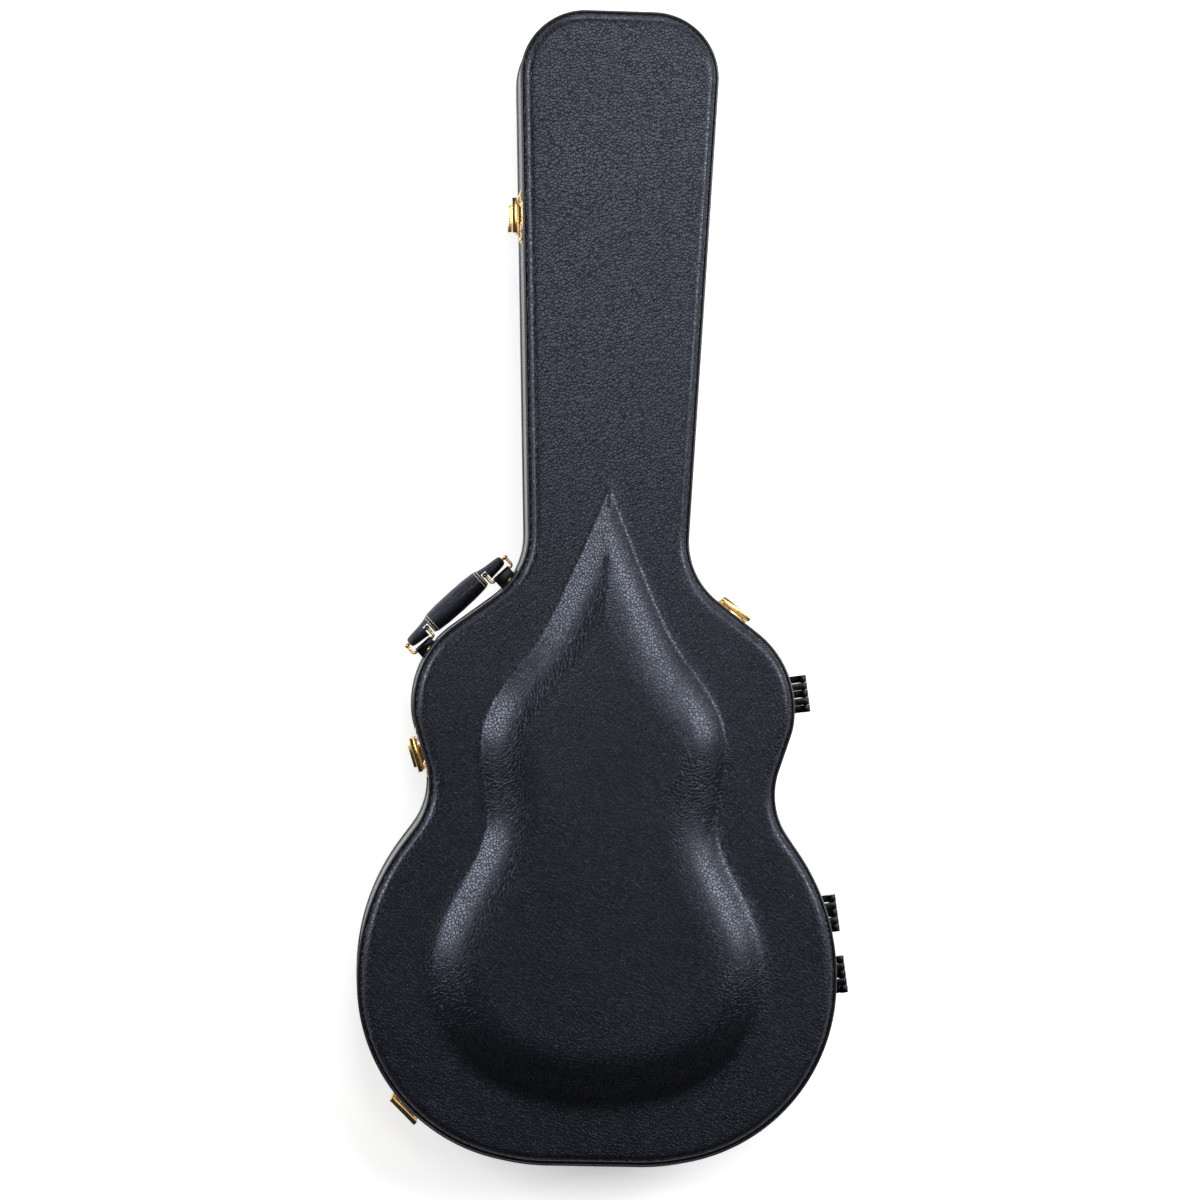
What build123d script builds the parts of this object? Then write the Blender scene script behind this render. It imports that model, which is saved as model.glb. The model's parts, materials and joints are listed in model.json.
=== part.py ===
from build123d import *
import os
from math import cos, radians, sin

os.makedirs("parts", exist_ok=True)

# Hard case for a hollow-body electric guitar, lying on its back with the lid up.
# X runs across the case, Y from the tail to the head, Z up. Z = 0 is the back's outer face.

# Overall sizes
case_length = 1110
lower_bout_width = 460
upper_bout_width = 366
waist_width = 316
heel_width = 150
head_width = 194
base_depth = 76
lid_depth = 32
crown_height = 20

# Outline, in heights above the tail and corner radii
tail_flat = 64
tail_corner_height = 33
tail_flat_radius = 200
tail_corner_radius = 173
lower_bout_height = 249
lower_bout_radius = 211
waist_height = 349
waist_radius = 72
upper_bout_low_height = 427
upper_bout_low_radius = 69
upper_bout_high_height = 487
upper_bout_high_radius = 92
heel_height = 568
heel_radius = 75
head_radius = 62

# Shell
board = 6
side_wall = 6
edge_round = 5
parting_gap = 0.4
piping_height = 3
piping_proud = 1.5
piping_rebate = 3
valance_wall = 2.5
valance_height = 34
valance_rise = 6
valance_clearance = 0.8
lining = 2
soft_gap = 0.3
lining_rise = 4

# Crown pressed into the lid, on the centre line and at its widest places
crown_tip_height = 654
crown_tail_inset = 60
crown_shoulder_half = 118
crown_waist_half = 111
crown_bout_half = 160
crown_slope = 52

# Padding and compartment
bolster_wall = 18
bolster_top = 62
neck_slot_half = 36
cradle_length = 42
cradle_top = 66
cradle_groove_radius = 30
head_bolster_length = 90
pocket_length = 64
pocket_top = 38
divider_wall = 8
flap = 5
flap_gap = 0.8
flap_pin_radius = 1.5
flap_knuckle_radius = 3
flap_ear = 10
tab_width = 14
tab_length = 18
tab_thickness = 0.8

# Hinges
hinge_tilt = 9.1
hinge_standoff = 6.3
hinge_length = 36
hinge_spread = 30
knuckle_radius = 4
knuckle_gap = 0.4
hinge_pin_radius = 2
running_clearance = 0.05
leaf = 1.4
leaf_height = 18
leaf_start = 2.5
flange = 2.4

# Draw latches: sizes along the wall, up from the parting line and out from the wall
latch_plate_length = 50
latch_plate_top = -2.5
latch_plate_bottom = -36
latch_sheet = 1.2
pivot_up = -15
pivot_out = 4.6
pivot_radius = 1.2
link_arm = 7
link_drop = 0.5
lever_half = 13
lever_length = 24
lever_rest_angle = 9
hook_ratio = 1.6
ear_gap = 0.6
hook_gap = 0.8
ledge_half = 9
ledge_bottom = 3.5
ledge_top = 6
ledge_reach = 4
hook_lift = 0.4
hook_bite = 2.1
strike_length = 28
strike_bottom = 2
strike_top = 20

# Handle on the left shoulder
handle_centre_x = -143.5
handle_centre_height = 539
handle_angle = 43.5
handle_level = 42
handle_pivot_reach = 10.5
ring_near = 38
ring_far = 64.5
ring_wire = 1.5
ring_bend = 2.2
ring_bead = 2.4
grip_half_length = 61.6
grip_half_height = 13
grip_half_depth = 11
grip_end_height = 7.5
grip_end_depth = 5.2
notch_near = 34.8
notch_far = 41
bracket_length = 24
bracket_height = 24
bracket_knuckle_radius = 2.7

# Rivet heads
rivet_radius = 2.6
rivet_height = 1.5
rivet_seat = 0.05

tail_y = -case_length / 2
head_y = case_length / 2
parting = base_depth
lid_base = parting + parting_gap
lid_face = lid_base + lid_depth + board
UP = Vector(0, 0, 1)


def save(shape, name):
    """Label a finished piece and write it to its file."""
    shape.label = name
    export_step(shape, f"parts/{name}.step")


# The outline's corners on the right, from the tail to the head, each with its radius
corners = [
    (tail_flat, tail_y, tail_flat_radius),
    (lower_bout_width / 2, tail_y + tail_corner_height, tail_corner_radius),
    (lower_bout_width / 2, tail_y + lower_bout_height, lower_bout_radius),
    (waist_width / 2, tail_y + waist_height, waist_radius),
    (upper_bout_width / 2, tail_y + upper_bout_low_height, upper_bout_low_radius),
    (upper_bout_width / 2, tail_y + upper_bout_high_height, upper_bout_high_radius),
    (heel_width / 2, tail_y + heel_height, heel_radius),
    (head_width / 2, head_y, head_radius),
]
mirrored_corners = [(-x, y, r) for x, y, r in reversed(corners)]

with BuildSketch() as outline:
    with BuildLine():
        all_corners = corners + mirrored_corners
        FilletPolyline(
            *[(x, y) for x, y, r in all_corners],
            radius=[r for x, y, r in all_corners],
            close=True,
        )
    make_face()
outline_face = outline.sketch.faces()[0]
outline_edges = outline_face.outer_wire().edges()


def outline_at(amount):
    """The outline moved out by the amount, or in where it is negative."""
    with BuildSketch() as moved:
        add(outline.sketch)
        if amount:
            offset(amount=amount, kind=Kind.INTERSECTION)
    return moved.sketch


def ring(outer, inner, low, high):
    """A wall that follows the outline between two offsets and two levels."""
    with BuildPart() as wall:
        with BuildSketch(Plane.XY.offset(low)):
            add(outline_at(outer))
            add(outline_at(inner), mode=Mode.SUBTRACT)
        extrude(amount=high - low)
    return wall.part


def block(offset_amount, low, high):
    """A solid of the moved outline between two levels."""
    with BuildPart() as solid:
        with BuildSketch(Plane.XY.offset(low)):
            add(outline_at(offset_amount))
        extrude(amount=high - low)
    return solid.part


def half_space(low_x, high_x, low_y, high_y):
    """A tall box between two X and two Y values, to cut a piece to a stretch of the case."""
    with BuildPart() as space:
        with BuildSketch(Plane.XY.offset(-50)):
            with Locations(((low_x + high_x) / 2, (low_y + high_y) / 2)):
                Rectangle(high_x - low_x, high_y - low_y)
        extrude(amount=400)
    return space.part


shell_block = block(0, -1, lid_face + 1)
leaf_skin = ring(leaf, 0, 0, lid_face)
latch_skin = ring(latch_sheet, 0, 0, lid_face)
far = case_length


def wall_plane(x, y, level):
    """The plane on the outer wall nearest to (x, y): X along the wall, Y up, Z outwards."""
    spot = Vector(x, y, 0)
    edge = outline_edges.sort_by_distance(spot)[0]
    foot = edge.closest_points(spot)[0]
    along = edge.tangent_at(edge.param_at_point(foot))
    outward = along.cross(UP)
    if outline_face.is_inside(foot + outward):
        outward = -outward
    return Plane(origin=(foot.X, foot.Y, level), x_dir=UP.cross(outward), z_dir=outward)


def side_plane(plane, along=0):
    """A plane across the wall at a distance along it: X up, Y outwards, Z along the wall."""
    origin = plane.from_local_coords((along, 0, 0))
    return Plane(origin=origin, x_dir=plane.y_dir, z_dir=plane.x_dir)


def turned(side, up, out, angle):
    """A plane across the wall moved to a pivot and turned about it, from up towards out."""
    origin = side.from_local_coords((up, out, 0))
    turn = radians(angle)
    x_dir = side.x_dir * cos(turn) + side.y_dir * sin(turn)
    return Plane(origin=origin, x_dir=x_dir, z_dir=side.z_dir)


def rivets(plane, places, skin):
    """Domed heads on a plate that follows the wall, at (along, up) places on it."""
    heads = []
    for along, up in places:
        spot = plane.from_local_coords((along, up, 0))
        seat = wall_plane(spot.X, spot.Y, spot.Z)
        dome_radius = (rivet_radius**2 + rivet_height**2) / (2 * rivet_height)
        with BuildPart(seat.offset(skin + rivet_seat)) as head:
            Cylinder(rivet_radius, rivet_height, align=(Align.CENTER, Align.CENTER, Align.MIN))
            with Locations((0, 0, rivet_height - dome_radius)):
                Sphere(dome_radius, mode=Mode.INTERSECT)
        heads.append(head.part)
    return heads


def save_group(solids, name):
    """Write several separate solids as one node."""
    save(Compound(children=solids), name)


# Back board, with its outer edge rounded under the covering
with BuildPart() as base_board:
    add(block(0, 0, board))
    fillet(base_board.faces().sort_by(Axis.Z)[0].edges(), edge_round)
save(base_board.part, "base_board")

# Bent sides of the base, each rebated for the piping and joined at the tail and the head
for side, low_x, high_x in (("left", -far, 0), ("right", 0, far)):
    with BuildPart() as base_side:
        add(ring(0, -side_wall, board, base_depth))
        add(ring(1, -piping_rebate, board - 1, board + piping_height), mode=Mode.SUBTRACT)
        add(half_space(low_x, high_x, -far, far), mode=Mode.INTERSECT)
    save(base_side.part, f"base_side_{side}")

# Bent sides of the lid
for side, low_x, high_x in (("left", -far, 0), ("right", 0, far)):
    with BuildPart() as lid_side:
        add(ring(0, -side_wall, lid_base, lid_face - board))
        add(
            ring(1, -piping_rebate, lid_face - board - piping_height, lid_face),
            mode=Mode.SUBTRACT,
        )
        add(half_space(low_x, high_x, -far, far), mode=Mode.INTERSECT)
    save(lid_side.part, f"lid_side_{side}")


def piping(low):
    """A beaded strip set in the rebate, its bead standing proud of the wall."""
    with BuildPart() as strip:
        add(ring(piping_proud, -piping_rebate, low, low + piping_height))
        for end in (0, -1):
            rim = strip.faces().sort_by(Axis.Z)[end].outer_wire()
            fillet(rim.edges(), piping_proud - 0.1)
    return strip.part


save(piping(board), "base_piping")
save(piping(lid_face - board - piping_height), "lid_piping")

# Valance glued inside the base, rising into the lid to keep the joint true
valance_low = parting - valance_height + valance_rise
with BuildPart() as valance:
    add(ring(-side_wall, -side_wall - valance_wall, valance_low, parting))
    add(
        ring(
            -side_wall - valance_clearance,
            -side_wall - valance_wall,
            parting,
            parting + valance_rise,
        )
    )
save(valance.part, "valance")

# Plush tray that lines the base below the valance
lining_out = -side_wall - soft_gap
lining_in = lining_out - lining
floor_low = board + soft_gap
floor_high = floor_low + lining
with BuildPart() as base_lining:
    add(block(lining_out, floor_low, valance_low - soft_gap))
    add(block(lining_in, floor_high, parting), mode=Mode.SUBTRACT)
save(base_lining.part, "base_lining")


# Crown of the lid: half of its border, from the pointed tip down to the tail
with BuildLine() as border:
    Spline(
        (0, tail_y + crown_tip_height),
        (37.5, tail_y + 562.5),
        (71, tail_y + 496),
        (106, tail_y + 447),
        (crown_shoulder_half, tail_y + 411),
        (crown_waist_half, tail_y + 326),
        (crown_bout_half - 14, tail_y + 245),
        (crown_bout_half, tail_y + 185),
        (crown_bout_half - 30, tail_y + 108),
        (0, tail_y + crown_tail_inset),
        tangents=((0.35, -0.94), (-1, 0)),
    )
border_edge = border.edges()[0]


def inset_point(place, inset):
    """A point of the border moved in towards the middle of the crown."""
    along = border_edge.tangent_at(place)
    return border_edge.position_at(place) + along.cross(UP) * inset


def crest_start(inset):
    """Where along the border its moved-in line leaves the crown's centre crest."""
    low, high = 0.0, 0.5
    for _ in range(30):
        middle = (low + high) / 2
        if inset_point(middle, inset).X < 0:
            low = middle
        else:
            high = middle
    return high


def crown_level(inset, level, stations=9):
    """A closed outline of the crown at one level: a right half and its mirror."""
    start = crest_start(inset)
    places = [start + (1 - start) * step / stations for step in range(stations + 1)]
    spots = [inset_point(place, inset) for place in places]
    spots[0].X = 0
    spots[-1].X = 0
    first = border_edge.tangent_at(start)
    with BuildSketch(Plane.XY.offset(level)) as section:
        with BuildLine():
            Spline(*[(p.X, p.Y) for p in spots], tangents=((first.X, first.Y), (-1, 0)))
            Spline(*[(-p.X, p.Y) for p in spots], tangents=((-first.X, first.Y), (1, 0)))
        make_face()
    return section.sketch


def crown_form(base_level):
    """The crown as a solid above a level: a crease at its border, a round shoulder, a flat top."""
    shares = (0, 0.12, 0.3, 0.55, 1)
    with BuildPart() as form:
        levels = [
            crown_level(share * crown_slope, base_level + crown_height * (1 - (1 - share) ** 2))
            for share in shares
        ]
        loft(sections=[level.faces()[0] for level in levels])
    return form.part


# Lid panel: one pressed sheet with the crown raised in it and hollow beneath
with BuildPart() as lid_panel:
    add(block(0, lid_face - board, lid_face))
    fillet(lid_panel.faces().sort_by(Axis.Z)[-1].edges(), edge_round)
    add(crown_form(lid_face))
    add(crown_form(lid_face - board), mode=Mode.SUBTRACT)
save(lid_panel.part, "lid_panel")

# Plush lining of the lid, which follows the hollow of the crown
lining_face = lid_face - board - soft_gap
with BuildPart() as lid_lining:
    add(block(lining_out, parting + valance_rise + lining_rise, lining_face))
    add(crown_form(lining_face))
    add(block(lining_in, parting, lining_face - lining), mode=Mode.SUBTRACT)
    add(crown_form(lining_face - lining), mode=Mode.SUBTRACT)
save(lid_lining.part, "lid_lining")

# Bolsters that hold the instrument's body, and one at the head
bolster_out = lining_in - soft_gap
bolster_in = bolster_out - bolster_wall
bolster_low = floor_high + soft_gap
waist_y = tail_y + waist_height
heel_y = tail_y + heel_height


def bolster(low_x, high_x, low_y, high_y, open_end):
    """A padded wall between two Y values, its top edges rounded."""
    with BuildPart() as pad:
        add(block(bolster_out, bolster_low, bolster_top))
        with BuildPart(mode=Mode.PRIVATE) as hollow:
            add(block(bolster_in, bolster_low - 1, bolster_top + 1))
            add(half_space(-far, far, *open_end), mode=Mode.INTERSECT)
        add(hollow.part, mode=Mode.SUBTRACT)
        add(half_space(low_x, high_x, low_y, high_y), mode=Mode.INTERSECT)
    return pad.part


save(bolster(-far, far, tail_y, waist_y - soft_gap, (-far, waist_y + 1)), "tail_bolster")
shoulder_inner_y = heel_y - 38
for side, low_x, high_x in (("left", -far, -neck_slot_half), ("right", neck_slot_half, far)):
    pad = bolster(low_x, high_x, waist_y, heel_y - soft_gap, (-far, shoulder_inner_y))
    save(pad, f"shoulder_bolster_{side}")
save(
    bolster(-far, far, head_y - head_bolster_length, head_y, (0, far)),
    "head_bolster",
)

# Neck cradle with its round groove
with BuildPart() as neck_cradle:
    add(block(bolster_out, bolster_low, cradle_top))
    add(half_space(-far, far, heel_y, heel_y + cradle_length), mode=Mode.INTERSECT)
    with BuildSketch(Plane.XZ.offset(-heel_y + 1)):
        with Locations((0, cradle_top)):
            Circle(cradle_groove_radius)
    extrude(amount=-cradle_length - 2, mode=Mode.SUBTRACT)
save(neck_cradle.part, "neck_cradle")

# Accessory pocket between the cradle and a divider, with a hinged flap
divider_y = heel_y + cradle_length + pocket_length
flap_half = heel_width / 2 - side_wall - valance_wall - lining - 6
flap_axis_y = divider_y - divider_wall / 2
flap_axis_z = pocket_top + flap_knuckle_radius
ear_outer = flap_half - 4
ear_inner = ear_outer - flap_ear
with BuildPart() as pocket_divider:
    add(block(bolster_out, bolster_low, pocket_top - 0.5))
    add(half_space(-far, far, divider_y - divider_wall, divider_y), mode=Mode.INTERSECT)
    for low_x in (-ear_outer, ear_inner):
        with BuildSketch(Plane.YZ.offset(low_x)):
            with Locations((flap_axis_y, flap_axis_z)):
                Circle(flap_knuckle_radius)
            with Locations((flap_axis_y, flap_axis_z - flap_knuckle_radius)):
                Rectangle(2 * flap_knuckle_radius, 2 * flap_knuckle_radius)
        extrude(amount=flap_ear)
    with BuildSketch(Plane.YZ.offset(-flap_half)):
        with Locations((flap_axis_y, flap_axis_z)):
            Circle(flap_pin_radius)
    extrude(amount=2 * flap_half, mode=Mode.SUBTRACT)
save(pocket_divider.part, "pocket_divider")

with BuildPart(Plane.YZ.offset(-ear_outer)) as pocket_pin:
    with Locations((flap_axis_y, flap_axis_z)):
        Cylinder(flap_pin_radius, 2 * ear_outer, align=(Align.CENTER, Align.CENTER, Align.MIN))
save(pocket_pin.part, "pocket_pin")

flap_front_y = heel_y + cradle_length + flap_gap
flap_low = pocket_top
barrel_half = ear_inner - flap_gap
with BuildPart() as pocket_flap:
    with BuildSketch(Plane.XY.offset(flap_low)):
        with Locations((0, (flap_front_y + flap_axis_y - 5) / 2)):
            RectangleRounded(2 * flap_half, flap_axis_y - 5 - flap_front_y, 3)
    extrude(amount=flap)
    with BuildSketch(Plane.YZ.offset(-barrel_half)):
        with Locations((flap_axis_y, flap_axis_z)):
            Circle(flap_knuckle_radius)
        with Locations((flap_axis_y - 4, flap_low + flap / 2)):
            Rectangle(6, flap)
    extrude(amount=2 * barrel_half)
    with BuildSketch(Plane.YZ.offset(-barrel_half - 1)):
        with Locations((flap_axis_y, flap_axis_z)):
            Circle(flap_pin_radius + running_clearance)
    extrude(amount=2 * barrel_half + 2, mode=Mode.SUBTRACT)
save(pocket_flap.part, "pocket_flap")

with BuildPart() as flap_tab:
    with BuildSketch(Plane.XY.offset(flap_low + flap)):
        with Locations((0, flap_front_y + tab_length / 2 + 2)):
            SlotOverall(tab_length, tab_width, rotation=90)
    extrude(amount=tab_thickness)
save(flap_tab.part, "flap_tab")


def fillet_centre(before, corner, after):
    """The centre of a corner's arc."""
    here = Vector(corner[0], corner[1])
    back = (Vector(before[0], before[1]) - here).normalized()
    on = (Vector(after[0], after[1]) - here).normalized()
    half_turn = radians(back.get_angle(on)) / 2
    return here + (back + on).normalized() * (corner[2] / sin(half_turn))


# Hinge line: straight, clear of the lower bout and the head corner
hinge_out = Vector(cos(radians(hinge_tilt)), sin(radians(hinge_tilt)), 0)
hinge_along = UP.cross(hinge_out)
bout_centre = fillet_centre(corners[1], corners[2], corners[3])
head_centre = fillet_centre(corners[6], corners[7], (0, head_y))
upper_centre = fillet_centre(corners[4], corners[5], corners[6])
hinge_reach = hinge_standoff + max(
    bout_centre.dot(hinge_out) + lower_bout_radius,
    head_centre.dot(hinge_out) + head_radius,
)
hinge_level = parting + parting_gap / 2


def hinge_plane(centre):
    """The plane on the hinge line beside an arc's centre: X along it, Y up, Z outwards."""
    foot = centre + hinge_out * (hinge_reach - centre.dot(hinge_out))
    return Plane(origin=(foot.X, foot.Y, hinge_level), x_dir=hinge_along, z_dir=hinge_out)


lower_plane = hinge_plane(bout_centre)
hinge_places = {
    "tail": lower_plane.offset(0).shift_origin(lower_plane.from_local_coords((-hinge_spread, 0, 0))),
    "bout": lower_plane.offset(0).shift_origin(lower_plane.from_local_coords((hinge_spread, 0, 0))),
    "shoulder": hinge_plane(upper_centre),
}
knuckle = (hinge_length - 4 * knuckle_gap) / 5
knuckle_starts = [-hinge_length / 2 + step * (knuckle + knuckle_gap) for step in range(5)]


def hinge_leaf(plane, upward, starts, bore):
    """A leaf that follows the wall, with its flanges and knuckles on the hinge line."""
    middle = upward * (leaf_start + leaf_height / 2)
    with BuildPart() as leaf_part:
        with BuildSketch(plane):
            with Locations((0, middle)):
                RectangleRounded(hinge_length + 6, leaf_height, 3)
        extrude(amount=-hinge_reach / 4)
        add(leaf_skin, mode=Mode.INTERSECT)
        for start in starts:
            side = side_plane(plane, start)
            with BuildPart(mode=Mode.PRIVATE) as web:
                with BuildSketch(side):
                    with Locations((upward * (knuckle_radius - flange / 2), -hinge_reach / 8)):
                        Rectangle(flange, hinge_reach / 4)
                extrude(amount=knuckle)
                add(shell_block, mode=Mode.SUBTRACT)
            add(web.part)
            with BuildSketch(side):
                Circle(knuckle_radius)
            extrude(amount=knuckle)
        with BuildSketch(side_plane(plane, -hinge_length)):
            Circle(bore)
        extrude(amount=2 * hinge_length, mode=Mode.SUBTRACT)
    return leaf_part.part


def hinge_rivets(plane, upward):
    """Rivets of one leaf."""
    across = hinge_length / 2 - 5
    up = upward * (leaf_start + leaf_height - 6)
    return rivets(plane, [(-across, up), (across, up)], leaf)


base_heads = []
lid_heads = []
pins = []
for name, plane in hinge_places.items():
    base_leaf = hinge_leaf(plane, -1, knuckle_starts[0::2], hinge_pin_radius)
    save(base_leaf, f"hinge_base_leaf_{name}")
    lid_leaf = hinge_leaf(plane, 1, knuckle_starts[1::2], hinge_pin_radius + running_clearance)
    save(lid_leaf, f"hinge_lid_leaf_{name}")
    base_heads += hinge_rivets(plane, -1)
    lid_heads += hinge_rivets(plane, 1)
    with BuildPart(side_plane(plane, -hinge_length / 2)) as pin:
        Cylinder(hinge_pin_radius, hinge_length, align=(Align.CENTER, Align.CENTER, Align.MIN))
    pins.append(pin.part)
save_group(pins, "hinge_pins")

# Draw latches: a plate and lever on the base, a hook on the lever, a ledged strike on the lid
latch_places = {
    "neck": wall_plane(-head_width / 2, head_y - 196, parting),
    "waist": wall_plane(-waist_width / 2 - 18, waist_y + 42, parting),
    "tail": wall_plane(-lower_bout_width / 2 + 49, tail_y + 48, parting),
    "shoulder": wall_plane(heel_width / 2 + 50.5, heel_y - 32.5, parting),
}
pin_half = lever_half + ear_gap + latch_sheet + 0.4
hook_leg_inner = pin_half + 0.4
hook_half = hook_leg_inner + latch_sheet


def pivot_side(plane, along=0):
    """The plane across the wall with its origin on the lever's pivot."""
    return turned(side_plane(plane, along), pivot_up, pivot_out, 0)


def link_point(angle):
    """The hook's pivot from the lever's, with the lever lifted by the angle."""
    lift = radians(angle)
    up = -link_arm * cos(lift) - link_drop * sin(lift)
    out = link_arm * sin(lift) - link_drop * cos(lift)
    return up, out


def latch_plate(plane):
    """A plate that follows the wall, with two ears for the lever's pivot."""
    with BuildPart() as plate:
        with BuildSketch(plane):
            with Locations((0, (latch_plate_top + latch_plate_bottom) / 2)):
                RectangleRounded(latch_plate_length, latch_plate_top - latch_plate_bottom, 4)
        extrude(amount=12, both=True)
        add(latch_skin, mode=Mode.INTERSECT)
        for start in (lever_half + ear_gap, -lever_half - ear_gap - latch_sheet):
            with BuildSketch(side_plane(plane, start)):
                with Locations((pivot_up, pivot_out)):
                    Circle(2.5 * pivot_radius)
                with Locations((pivot_up, (pivot_out + rivet_seat * 6) / 2)):
                    Rectangle(5 * pivot_radius, pivot_out - rivet_seat * 6)
            extrude(amount=latch_sheet)
        with BuildSketch(side_plane(plane, -pin_half)):
            with Locations((pivot_up, pivot_out)):
                Circle(pivot_radius)
        extrude(amount=2 * pin_half, mode=Mode.SUBTRACT)
    return plate.part


def latch_lever(plane):
    """A sprung cover with a curled lip, its two cheeks round the pivot, and the hook's pin."""
    sheet = latch_sheet
    cover_line = [
        (2.2, 1.6),
        (-3, 2.2),
        (-14, 2.2),
        (-19, 0.6),
        (-22.5, 1.2),
        (-lever_length, 4.4),
    ]
    with BuildPart() as lever:
        frame = turned(pivot_side(plane, -lever_half), 0, 0, -lever_rest_angle)
        with BuildSketch(frame):
            with BuildLine() as run:
                FilletPolyline(*cover_line, radius=1.8)
            trace(line_width=sheet)
        extrude(amount=2 * lever_half)
        for start in (0, 2 * lever_half - sheet):
            with BuildSketch(frame.offset(start)):
                Circle(2 * pivot_radius)
                with Locations((-link_arm, -link_drop)):
                    Circle(1.7 * pivot_radius)
                with Locations((-link_arm / 2, 0.7)):
                    Rectangle(link_arm, 3.4)
            extrude(amount=sheet)
        with BuildSketch(frame.offset(-1)):
            Circle(pivot_radius + running_clearance)
        extrude(amount=2 * lever_half + 2, mode=Mode.SUBTRACT)
        with BuildSketch(frame.offset(lever_half - hook_half)):
            with Locations((-link_arm, -link_drop)):
                Circle(pivot_radius)
        extrude(amount=2 * hook_half)
    return lever.part


def latch_hook(plane):
    """A stirrup on the lever, its end turned in to draw down on the strike's ledge."""
    closed_up, closed_out = link_point(0)
    rest_up, rest_out = link_point(lever_rest_angle)
    tip_low = ledge_top + hook_lift - pivot_up - closed_up
    face_in = ledge_reach + hook_gap - pivot_out - closed_out
    tip_in = ledge_reach - hook_bite - pivot_out - closed_out
    with BuildPart() as hook:
        lean = (hook_ratio - 1) * lever_rest_angle
        frame = turned(pivot_side(plane, -hook_half), rest_up, rest_out, lean)
        with BuildSketch(frame):
            with Locations(((tip_low - 5) + (5 + latch_sheet) / 2, face_in + latch_sheet / 2)):
                Rectangle(5 + latch_sheet, latch_sheet)
            with Locations(
                (tip_low + latch_sheet / 2, (tip_in + face_in + latch_sheet) / 2)
            ):
                Rectangle(latch_sheet, face_in + latch_sheet - tip_in)
        extrude(amount=2 * hook_half)
        for start in (0, 2 * hook_half - latch_sheet):
            with BuildSketch(frame.offset(start)):
                Circle(1.8 * pivot_radius)
                with Locations((tip_low / 2, face_in + latch_sheet - 1.5)):
                    Rectangle(tip_low, 3)
            extrude(amount=latch_sheet)
        with BuildSketch(frame.offset(-1)):
            Circle(pivot_radius + running_clearance)
        extrude(amount=2 * hook_half + 2, mode=Mode.SUBTRACT)
    return hook.part


def latch_strike(plane):
    """A plate on the lid with the ledge that the hook draws down on."""
    with BuildPart() as strike:
        with BuildSketch(plane):
            with Locations((0, (strike_bottom + strike_top) / 2)):
                RectangleRounded(strike_length, strike_top - strike_bottom, 3)
        extrude(amount=12, both=True)
        add(latch_skin, mode=Mode.INTERSECT)
        with BuildSketch(side_plane(plane, -ledge_half)):
            with Locations(((ledge_bottom + ledge_top) / 2, (ledge_reach + 0.3) / 2)):
                Rectangle(ledge_top - ledge_bottom, ledge_reach - 0.3)
        extrude(amount=2 * ledge_half)
    return strike.part


latch_pins = []
for name, plane in latch_places.items():
    save(latch_plate(plane), f"latch_plate_{name}")
    save(latch_lever(plane), f"latch_lever_{name}")
    save(latch_hook(plane), f"latch_hook_{name}")
    save(latch_strike(plane), f"latch_strike_{name}")
    with BuildPart(pivot_side(plane, -pin_half)) as pin:
        Cylinder(pivot_radius, 2 * pin_half, align=(Align.CENTER, Align.CENTER, Align.MIN))
    latch_pins.append(pin.part)
    across = latch_plate_length / 2 - 4
    rows = (latch_plate_top - 5, latch_plate_bottom + 5)
    base_heads += rivets(plane, [(a, up) for a in (-across, across) for up in rows], latch_sheet)
    lid_across = strike_length / 2 - 5
    lid_row = strike_top - 5
    lid_heads += rivets(plane, [(-lid_across, lid_row), (lid_across, lid_row)], latch_sheet)
save_group(latch_pins, "latch_pins")

# Handle: two brackets, two wire rings and a padded grip
handle_out = Vector(-sin(radians(handle_angle)), cos(radians(handle_angle)), 0)
grip_plane = Plane(
    origin=(handle_centre_x, tail_y + handle_centre_height, handle_level),
    x_dir=UP.cross(handle_out),
    z_dir=handle_out,
)
pivot_plane = grip_plane.offset(-handle_pivot_reach)
ring_middle = (ring_near + ring_far) / 2
bracket_knuckle = ring_far - ring_near - 2 * ring_bend - 3

for name, side_sign in (("head", -1), ("tail", 1)):
    along = side_sign * ring_middle
    spot = pivot_plane.from_local_coords((along, 0, 0))
    seat = wall_plane(spot.X, spot.Y, handle_level)
    start = along - bracket_knuckle / 2
    with BuildPart() as bracket:
        with BuildSketch(seat):
            RectangleRounded(bracket_length, bracket_height, 4)
        extrude(amount=12, both=True)
        add(leaf_skin, mode=Mode.INTERSECT)
        with BuildPart(mode=Mode.PRIVATE) as web:
            with BuildSketch(side_plane(pivot_plane, start)):
                with Locations((0, -handle_pivot_reach)):
                    Rectangle(2 * bracket_knuckle_radius, 2 * handle_pivot_reach)
            extrude(amount=bracket_knuckle)
            add(shell_block, mode=Mode.SUBTRACT)
        add(web.part)
        with BuildSketch(side_plane(pivot_plane, start)):
            Circle(bracket_knuckle_radius)
        extrude(amount=bracket_knuckle)
        with BuildSketch(side_plane(pivot_plane, start - 1)):
            Circle(ring_wire + running_clearance)
        extrude(amount=bracket_knuckle + 2, mode=Mode.SUBTRACT)
    save(bracket.part, f"handle_bracket_{name}")
    row = bracket_height / 2 - 3.5
    places = [(0, -row), (0, row)]
    base_heads += rivets(seat, places, leaf)

save_group(base_heads, "base_rivets")
save_group(lid_heads, "lid_rivets")

flat_plane = Plane(origin=pivot_plane.origin, x_dir=pivot_plane.x_dir, z_dir=-pivot_plane.y_dir)


def wire_run(start, finish):
    """One straight length of ring wire between two points of the ring's flat plane."""
    first, last = (flat_plane.from_local_coords((*point, 0)) for point in (start, finish))
    return Solid.make_cylinder(ring_wire, (last - first).length, Plane(origin=first, z_dir=last - first))


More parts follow.
